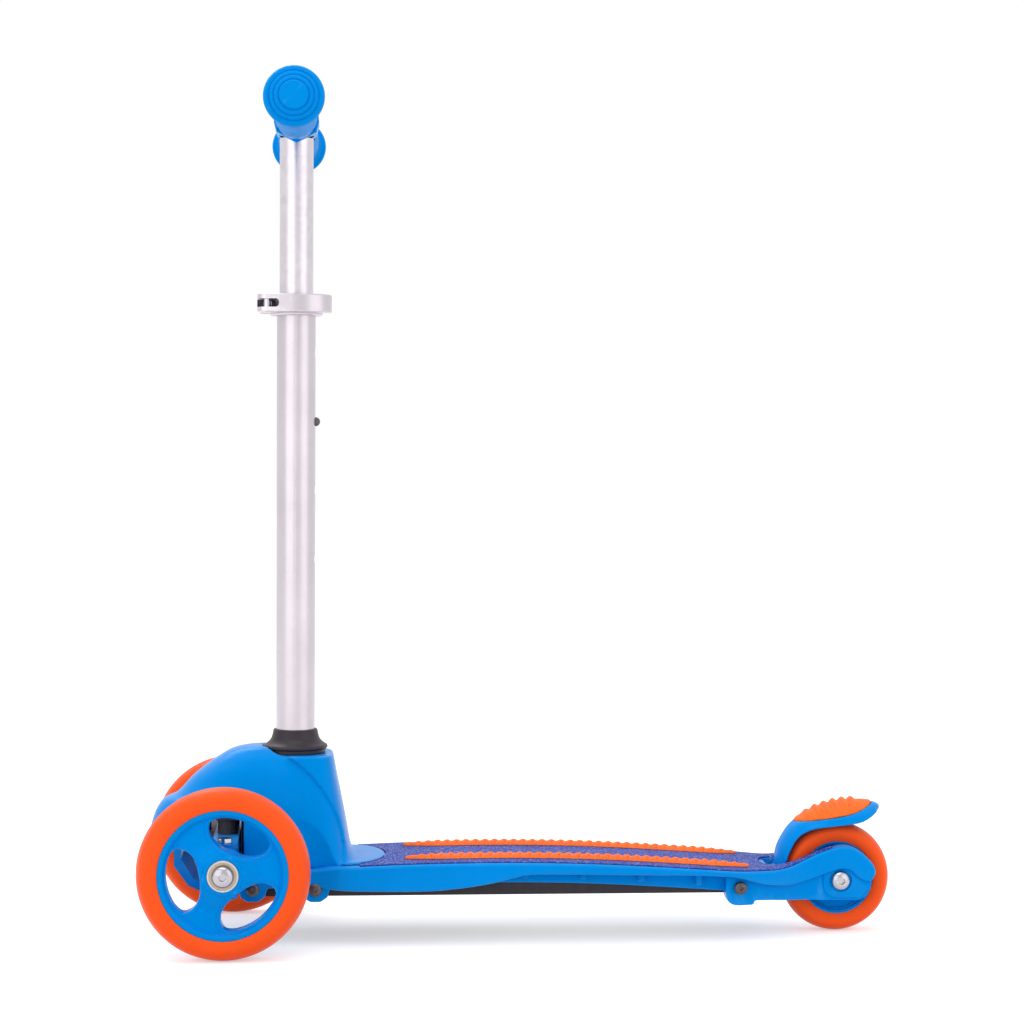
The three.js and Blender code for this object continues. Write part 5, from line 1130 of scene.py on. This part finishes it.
def fork_arm():
    """One arm of the rear fork, from the deck's side band to the rounded hood over the bolt."""
    first = next(i for i, p in enumerate(BOTTOM_LINE) if p[0] < ARM_START)
    top = spaced([p for p in TOP_LINE if p[0] < ARM_START], 90)
    rings = []
    for (tx, tz), (bx, bz) in zip(top, spaced(BOTTOM_LINE[first:], 90)):
        edge, foot = Vector((tx, tz)), Vector((bx, bz))
        rise = (edge - foot).length
        upward = (edge - foot) / max(rise, 1e-6)
        rim, foot_rim = min(2.7, rise * 0.42), min(1.6, rise * 0.3)
        outer, outer_foot = deck_half_at(tx), deck_half_at(bx)
        inner = SLOT_HALF - 1
        if tx > -385:
            inner = max(inner, min(outer, outer_foot) - DECK_WALL)
        ring = [(inner, foot)]
        ring += [(outer_foot - foot_rim * (1 - b), foot + upward * foot_rim * (1 - a)) for a, b in quarter(3)]
        ring += [(outer - rim * (1 - a), edge - upward * rim * (1 - b)) for a, b in quarter(5)]
        rings.append([(p.x, y, p.y) for y, p in ring + [(inner, edge)]])
    return loft(rings)


def plan_prism(wide, narrow, low, high):
    """An upright body with the deck's own outline seen from above."""
    rings = []
    for x in range(DECK_START, -478, -4):
        half = deck_half_at(x, wide, narrow)
        rings.append([(x, half, low), (x, half, high), (x, -half, high), (x, -half, low)])
    return loft(rings)


def lug_corners(x, z, radius=9.0):
    half = [(2.3 * radius, radius, 0), (2.1 * radius, 1.6, 0), (1.15 * radius, 1.2, 5)]
    half += [(0.98 * radius, -0.62 * radius, 4), (0.4 * radius, -radius, 4)]
    return [(x - a, z + b, e) for a, b, e in half] + [(x + a, z + b, e) for a, b, e in reversed(half)]


def deck_web():
    """The plate below the deck's skin."""
    line = [p for p in TOP_LINE[::3] if -84 > p[0] > -372]
    outline = [(x, z - 2) for x, z in line] + [(x, z - 16.6) for x, z in line[::-1]]
    return plate(outline, -WEB_HALF_WIDTH, WEB_HALF_WIDTH, "y", 1.2)


def deck_ribs():
    """Ribs between the web and the side bands, each with a round post."""
    shells = []
    for i in range(4):
        x = -DECK_FRONT - (FORK_ROOT - DECK_FRONT) * (0.42 + 0.4 * i / 3)
        top = height_at(TOP_LINE, x) - 3
        rib = rectangle((x - 1.2, 50), (x + 1.2, top))
        for side, span in zip((1, -1), both_sides(WEB_HALF_WIDTH - 2, deck_half_at(x) - 6.0)):
            shells.append(slab(rib, *span, "y", 0.3))
            shells.append(round_bar(2.6, "z", top - 9.4, top, (x, side * (WEB_HALF_WIDTH + 4.5), 0), 1.0, 24))
    return shells


def fork_block():
    """The lower body between the fork arms, inside the deck's own outline."""
    corners = [
        (-357.6, 48.4, 0), (-357.6, 25.7, 9.6), (-378.4, 25.7, 9.6), (-379.2, 28.7, 2.5), (-392, 28.0, 6),
        (-405, 26.9, 8), (-430, 25.7, 8), (-458.5, 25.4, 4), (-464, 28, 4), (-467.6, 33.5, 5),
        (-468.2, 39.5, 4), (-464, 45, 3), (-452.8, 52.0, 2), (-410, 47.0, 0), (-392, 48.4, 0),
    ]
    return kept_inside(slab(corners, -60, 60, "y", 0.02, ease=6), plan_prism(BASE_HALF, 22.5, 10, 70))


def wheel_slot():
    """The rear wheel's slot, which leaves the faces beside its hub standing."""
    corners = [
        (-SLOT_FRONT, -SLOT_HALF, 5), (-SLOT_FRONT, SLOT_HALF, 5), (-480, SLOT_HALF, 0), (-480, -SLOT_HALF, 0),
    ]
    spans = both_sides(BOSS_HALF + 0.3, SLOT_HALF + 5)
    faces = [bore(9.0, "y", *span, REAR_AXLE, 64) for span in spans]
    return cut(slab(corners, 0, 120, "z", SHARP, ease=6), *faces)


def add_deck():
    arm = fork_arm()
    base = [(-9.5, 41, 3), (-9.5, BASE_TOP, 3), (-90, BASE_TOP, 0), (-90, 41, 0)]
    boss = [
        (-WHEEL_BASE + 12.6, 52, 0), (-WHEEL_BASE + 12.6, 27.0, 16), (-460, 27.0, 4),
        (-466.3, 34, 4), (-466, 41.5, 3), (-458, 52, 0),
    ]
    lug_spans = both_sides(CHANNEL_HALF, BASE_HALF)
    deck = joined(
        deck_pan(), arm, mirrored(arm), deck_web(), slab(base, -BASE_HALF, BASE_HALF, "y", 2.2, 4),
        *[slab(lug_corners(x, z), *span, "y", 1.4, 4) for x, z in CROSS_BOLTS[:2] for span in lug_spans],
        *deck_ribs(), fork_block(),
        round_bar(9.0, "y", -SLOT_HALF - 3, SLOT_HALF + 3, REAR_AXLE, 0.2, 64),
        *[slab(boss, *span, "y", 1.1, 4, ease=8) for span in both_sides(14.0, 23.6)],
    )
    room, bolt_x, bolt_z = CHANNEL_HALF + 0.3, *CROSS_BOLTS[-1]
    channel_end = bolt_x - 7.5
    cuts = [
        box((channel_end, -room, 0), (5, room, CHANNEL_TOP + 0.3), 0.3),
        bore(19.6, "z", CHANNEL_TOP, 70, COLUMN, 72),
        box((COLUMN_X, -19.6, CHANNEL_TOP), (5, 19.6, 70)),
        wheel_slot(),
        bore(4.3, "y", -60, 60, REAR_AXLE),
        bore(2.3, "y", -24.3, 24.3, BRAKE_PIVOT),
        box((-385.8, -room, 0), (channel_end - 7.0, room, 44), 1.5),
        box((-383.0, -room, 0), (channel_end + 1.0, room, 28.6), 0.3),
    ]
    for nut_span, head_span in zip(both_sides(22.5, 40), both_sides(44.3, 60)):
        cuts.append(bore(8.4, "y", *nut_span, REAR_AXLE, 64))
        cuts.append(bore(5.8, "y", *head_span, (bolt_x, 0, bolt_z)))
    add_piece("deck_frame", cut(deck, *cuts, *cross_bores()), "blue", "chassis", ["deck"], crease=38)


def cross_bores():
    return [bore(3.3, "y", -60, 60, (x, 0, z), 32) for x, z in CROSS_BOLTS]


# Grip sheet and tread strips

SHEET_LIFT, SHEET_TOP = 0.3, 1.2
TREAD_START, TREAD_END = -127.0, -376.0
TREAD_MIDDLE, TREAD_HALF, TREAD_PITCH = 30, 7.3, 7.1


def add_grip_sheet():
    rings = []
    steps = 12
    for x in range(-83, -441, -2):
        level, half = height_at(TOP_LINE, x), deck_half_at(x) - 3.4
        sides = [blend_value(-half, half, k / steps) for k in range(steps + 1)]
        ring = [(x, y, level + SHEET_LIFT) for y in sides]
        for k in range(steps + 1):
            drop = 0.35 if k in (0, steps) else 0
            ring.append((x, blend_value(half, -half, k / steps), level + SHEET_TOP - drop))
        rings.append(ring)
    tongue = rounded_end(-70, -DECK_FRONT - 6, -27.6, 44.6, 32)
    bay = rounded_end(-480, -SLOT_FRONT - 5, 9.5, SLOT_HALF + 3.2, 32)
    cuts = [plate(outline, 40, 80, "z", SHARP) for outline in (tongue, bay)]
    sheet = cut(loft(rings), *cuts, box((-94, -60, 40), (-70, 60, 80)))
    add_piece("deck_glitter_sheet", sheet, "sheet", "chassis", ["deck_grip_sheet"])


def strip_half(x):
    """Half the width of a tread strip, pointed at both ends."""
    from_end = min(TREAD_START - x, x - TREAD_END)
    return TREAD_HALF * min(1.0, 0.24 + 0.76 * min(1.0, from_end / 26) ** 0.7)


def lump_height(x, across):
    """Rope-like lumps in two rows that lean against each other, from 0 to 1."""
    height = 0.0
    for row in (-1, 1):
        lean = x + row * across * 0.55 + (TREAD_PITCH / 2 if row > 0 else 0)
        phase = (lean / TREAD_PITCH) % 1.0 - 0.5
        along = max(0.0, 1 - (phase / 0.46) ** 2)
        sideways = max(0.0, 1 - ((across - row * 0.46) / 0.52) ** 2)
        height = max(height, (along * sideways) ** 0.55)
    return height


def add_tread_strips():
    columns, rows = 330, 26
    for side, turn in (("left", 1), ("right", -1)):
        middle = turn * TREAD_MIDDLE
        rings = []
        for i in range(columns + 1):
            x = blend_value(TREAD_START, TREAD_END, i / columns)
            half = max(strip_half(x), 0.4)
            level = height_at(TOP_LINE, x) + SHEET_TOP + 0.3
            phases = [2 * math.pi * (x + 0.55 + shift) / TREAD_PITCH for shift in (0, 3.55)]
            near, far = (0.94 + 0.06 * math.cos(phase) for phase in phases)
            ring = [(x, middle - half * far, level), (x, middle + half * near, level)]
            for k in range(rows + 1):
                across = 1 - 2 * k / rows
                shape = (1 - abs(across) ** 6) ** 0.5
                lump = 2.3 * lump_height(x, across) * min(1, half / TREAD_HALF) ** 0.7
                wave = blend_value(far, near, (across + 1) / 2)
                ring.append((x, middle + across * half * wave, level + 0.25 + shape * (0.55 + lump)))
            rings.append(ring)
        add_piece(side + "_lumpy_tread", loft(rings), "pad", "chassis", [side + "_tread_strip"], crease=70)


# Rear brake

BRAKE_TOP_SHARES = [
    (0.045, 0.02), (0.05, 0.2), (0.07, 0.36), (0.115, 0.51), (0.168, 0.64), (0.242, 0.755),
    (0.33, 0.835), (0.392, 0.885), (0.46, 0.923), (0.528, 0.956), (0.608, 0.981), (0.688, 0.994),
    (0.785, 1), (0.865, 0.986), (0.915, 0.958), (0.94, 0.925), (0.932, 0.885),
]
BRAKE_UNDER_SHARES = [
    (0.905, 0.85), (0.85, 0.785), (0.77, 0.72), (0.676, 0.69), (0.59, 0.675), (0.5125, 0.66), (0.435, 0.645),
    (0.349, 0.61), (0.282, 0.555), (0.225, 0.475), (0.175, 0.335), (0.142, 0.2), (0.125, 0.02),
]
BRAKE_BOX = (-395.5, -88, 44, 52)  # front, reach, foot and rise that the shares are of
FENDER_TOP = curved(from_shares(BRAKE_TOP_SHARES, *BRAKE_BOX))
FENDER_CREST = [p for p in FENDER_TOP if p[0] > -478]
FENDER_UNDER = curved(from_shares(BRAKE_UNDER_SHARES[::-1], *BRAKE_BOX), 8)
FENDER_PLAN = curved([
    (-385, 14.0), (-400, 14.0), (-412, 14.0), (-421, 15.2), (-427, 17.0), (-435, 18.8), (-446, 19.0),
    (-457.4, 18.8), (-464, 17.6), (-469.1, 15.6), (-473.5, 12.2), (-476.4, 8.4), (-478.6, 3.5),
])
PAD_FRONT, PAD_REAR, PAD_HALF = -414.8, -471.5, 16.6
PAD_RIBS = [-423.2 - 6.75 * i for i in range(6)]


def pointed_crown(y):
    """How far the fender's top falls away towards its sides."""
    return 9.5 * (y / 19) ** 2


def fender_shell():
    rings = []
    for (tx, tz), (ux, uz) in zip(spaced(FENDER_TOP, 64), spaced(FENDER_UNDER, 64)):
        edge, foot = Vector((tx, tz)), Vector((ux, uz))
        ring = []
        for k in range(32):
            cos, sin = polar(1, 360 * k / 32)
            rise = 0.5 + 0.5 * bulged(sin, 0.5)
            half = blend_value(height_at(FENDER_PLAN, ux), height_at(FENDER_PLAN, tx), rise)
            y = half * bulged(cos, 0.5)
            place = foot + (edge - foot) * rise - (edge - foot).normalized() * (pointed_crown(y) * rise)
            ring.append((place.x, y, place.y))
        rings.append(ring)
    return loft(rings)


def beading(line, radius):
    """A round bead along a line of (x, y, z) places."""
    rings = []
    for i, place in enumerate(line):
        along = (Vector(line[min(i + 1, len(line) - 1)]) - Vector(line[max(i - 1, 0)])).normalized()
        across = along.cross(Vector((0, 0, 1))).normalized()
        upward = across.cross(along)
        turns = [polar(1, 36 * k) for k in range(10)]
        rings.append([tuple(Vector(place) + (across * cos + upward * sin) * radius) for cos, sin in turns])
    return loft(rings)


def pad_body(grow, lift, deep):
    """The pad's own outline as a body that follows the fender's crest."""
    rings = []
    front, rear = PAD_FRONT + grow, PAD_REAR - grow
    columns, rows = 110, 22
    for i in range(columns + 1):
        angle = math.pi * i / columns
        x = (front + rear) / 2 + (front - rear) / 2 * math.cos(angle)
        half = max((PAD_HALF + grow) * math.sin(angle) ** 0.9 * (1 - 0.1 * math.cos(angle)), 0.05)
        crest = height_at(FENDER_CREST, x)
        low = crest - deep - pointed_crown(half)
        ring = [(x, half, low), (x, -half, low)]
        for k in range(rows + 1):
            across = -1 + 2 * k / rows
            y = across * half
            rise = lift
            if lift < 1:
                bowed = x + 3.4 * (y / PAD_HALF) ** 2
                swell = max(math.exp(-abs((bowed - rib) / 2.1) ** 3) for rib in PAD_RIBS)
                edge = (1 - abs(across) ** 5) ** 0.5
                rise = lift * edge + 2.5 * swell * edge * min(1, half / PAD_HALF) - 0.3
            ring.append((x, y, crest - pointed_crown(y) + rise))
        rings.append(ring)
    return loft(rings)


def tyre_room_shell():
    radius, half = REAR_RADIUS + 3.2, TYRE_HALF + 0.9
    shoulder = radius - half * 0.8
    turns = arc((0, 0), 1, 1, -90, 90, 12)[1:-1]
    crown = [(shoulder + (radius - shoulder) * cos ** 0.72, half * sin) for cos, sin in turns]
    return lathe([(0, -half), (shoulder, -half), *crown, (shoulder, half), (0, half)], "y", REAR_AXLE)


def add_brake():
    edge = [(x + 1.2, height_at(FENDER_PLAN, x) - 0.6, z + 1.1) for x, z in FENDER_UNDER if z > 52][::2]
    beads = [beading([(x, side * y, z) for x, y, z in edge], 1.3) for side in (1, -1)]
    fender = joined(fender_shell(), round_bar(4.0, "y", -7.5, 7.5, BRAKE_PIVOT, 0.3), *beads)
    cuts = [tyre_room_shell(), pad_body(0.35, 9.0, 2.4), bore(2.0, "y", -30, 30, BRAKE_PIVOT)]
    cuts += [bore(5.2, "y", *span, BRAKE_PIVOT) for span in both_sides(7.5, 30)]
    fender = softened(cut(fender, *cuts), 0.8, 4)
    add_piece("brake_fender_shell", fender, "blue", "brake", ["brake_fender"], crease=60)
    pad = softened(pad_body(0.0, 0.75, 2.0), 0.62, 2)
    add_piece("brake_ribbed_pad", pad, "pad", "brake", ["brake_pad"], crease=60)


# Underframe and cross bolts


def add_underframe():
    half, top, foot = CHANNEL_HALF, CHANNEL_TOP, 33
    inner, under = half - 2.0, top - 2.0
    outline = [
        (half, foot, 0.6), (half, top, 3.0), (-half, top, 3.0), (-half, foot, 0.6),
        (-inner, foot, 0.6), (-inner, under, 1.6), (inner, under, 1.6), (inner, foot, 0.6),
    ]
    channel = slab(outline, -374, -12, "x", 0.3, 2, ease=4)
    add_piece("underframe_rail", cut(channel, *cross_bores()), "frame", "chassis", ["underframe_channel"])


def add_cross_bolts():
    radius, shank, seat, height = 4.7, 3.0, BASE_HALF + 0.3, 3.0
    top = seat + height
    dome = [(radius, seat)]
    dome += [(radius * cos, seat + 0.7 + (height - 0.7) * sin) for cos, sin in quarter(8)[:-1]]
    dome.append((0, top))
    profile = [(r, -y) for r, y in dome[::-1]] + [(shank, -seat), (shank, seat)] + dome
    for name, (x, z) in zip(("front", "middle", "rear"), CROSS_BOLTS):
        sockets = [socket_prism(3.0, *span, (x, z)) for span in both_sides(top - 1.4, top + 1)]
        bolt = cut(lathe(profile, "y", (x, 0, z), 48), *sockets)
        add_piece(name + "_domed_bolt", bolt, "dark_steel", "chassis", [name + "_cross_bolt"])


# Camera and light, in metres and watts

LENS, SENSOR, CLIP = 86.755, 36.0, (0.05, 50)
CAMERA_PLACE = (0.13872, 1.79628, 0.34788)
CAMERA_YAW, CAMERA_PITCH, CAMERA_ROLL = -0.073, -0.0222, 0.0041
WORLD_LEVEL = 0.78
FLOOR_HALF, FLOOR_TONE, FLOOR_GLOW = 14.0, 0.8, 0.45
# Place, aim, size and power of each lamp
LAMPS = {
    "overhead_soft_box": ((0.3, 0.5, 1.9), (0, 0, 0.2), (1.6, 1.2), 8.5),
    "front_soft_box": ((1.15, 1.35, 0.8), (0.1, 0, 0.3), (1.6, 1.5), 6.5),
    "rear_soft_box": ((-1.25, 1.1, 0.8), (0.1, 0, 0.3), (1.4, 1.5), 4.8),
    "far_side_soft_box": ((0.6, -0.9, 1.45), (0.2, 0, 0.1), (0.8, 0.8), 6.0),
}


def leaned(first, second, angle):
    """Two directions at right angles, turned together so that the first leans to the second."""
    cos, sin = math.cos(angle), math.sin(angle)
    return cos * first + sin * second, cos * second - sin * first


def set_camera():
    """The photo's camera, which faces the scooter's left side."""
    turn = Matrix.Rotation(CAMERA_YAW, 3, "Z")
    right, up, ahead = (turn @ Vector(way) for way in ((-1, 0, 0), (0, 0, 1), (0, -1, 0)))
    ahead, up = leaned(ahead, up, CAMERA_PITCH)
    right, up = leaned(right, up, CAMERA_ROLL)
    data = bpy.data.cameras.new("photo_camera")
    data.lens, data.sensor_width, data.sensor_fit = LENS, SENSOR, "HORIZONTAL"
    data.clip_start, data.clip_end = CLIP
    camera = linked("photo_camera", data)
    axes = Matrix((right, up, -ahead)).transposed().to_4x4()
    camera.matrix_world = Matrix.Translation(CAMERA_PLACE) @ axes
    bpy.context.scene.camera = camera


def set_lights():
    for name, (place, aim, size, watts) in LAMPS.items():
        data = bpy.data.lights.new(name, "AREA")
        data.shape, data.energy = "RECTANGLE", watts
        data.size, data.size_y = size
        lamp = linked(name, data)
        lamp.location, lamp.visible_camera = place, False
        lamp.rotation_euler = (Vector(aim) - Vector(place)).to_track_quat("-Z", "Y").to_euler()


def seen_directly(tree):
    """1 for the rays that reach the eye straight, by gloss or through glass."""
    path = node(tree, "LightPath").outputs
    total = maths(tree, "ADD", path["Is Camera Ray"], path["Is Glossy Ray"], clamp=True)
    return maths(tree, "ADD", total, path["Is Transmission Ray"], clamp=True)


def set_world():
    world = bpy.data.worlds.new("white_room")
    tree = emptied(world)
    level = ranged(tree, seen_directly(tree), 0.0, 1.0, WORLD_LEVEL, 1.0)
    light = node(tree, "Background", {"Color": WHITE, "Strength": level})
    node(tree, "OutputWorld", {"Surface": light.outputs["Background"]})
    bpy.context.scene.world = world


def set_floor():
    """A pale floor that runs out to white and keeps the scooter's shadow."""
    mesh = bpy.data.meshes.new("floor")
    corners = [(a * FLOOR_HALF, b * FLOOR_HALF, 0) for a, b in ((-1, -1), (1, -1), (1, 1), (-1, 1))]
    mesh.from_pydata(corners, [], [(0, 1, 2, 3)])
    material = bpy.data.materials.new("pale_floor")
    tree = emptied(material)
    paint = node(tree, "BsdfDiffuse", {"Color": (FLOOR_TONE, FLOOR_TONE, FLOOR_TONE, 1)})
    level = ranged(tree, seen_directly(tree), 0.0, 1.0, 0.0, FLOOR_GLOW)
    glow = node(tree, "Emission", {"Color": WHITE, "Strength": level})
    both = node(tree, "AddShader", {0: paint.outputs["BSDF"], 1: glow.outputs["Emission"]})
    node(tree, "OutputMaterial", {"Surface": both.outputs["Shader"]})
    mesh.materials.append(material)
    floor = linked("floor", mesh)


finish_kept_nodes()
add_wheels()
add_housing()
add_column()
add_snap_button()
add_clamp_collar()
add_clamp_lever()
add_handlebar()
add_deck()
add_grip_sheet()
add_tread_strips()
add_underframe()
add_cross_bolts()
add_brake()

bpy.context.scene.view_settings.view_transform = "Standard"
set_camera()
set_lights()
set_world()
set_floor()
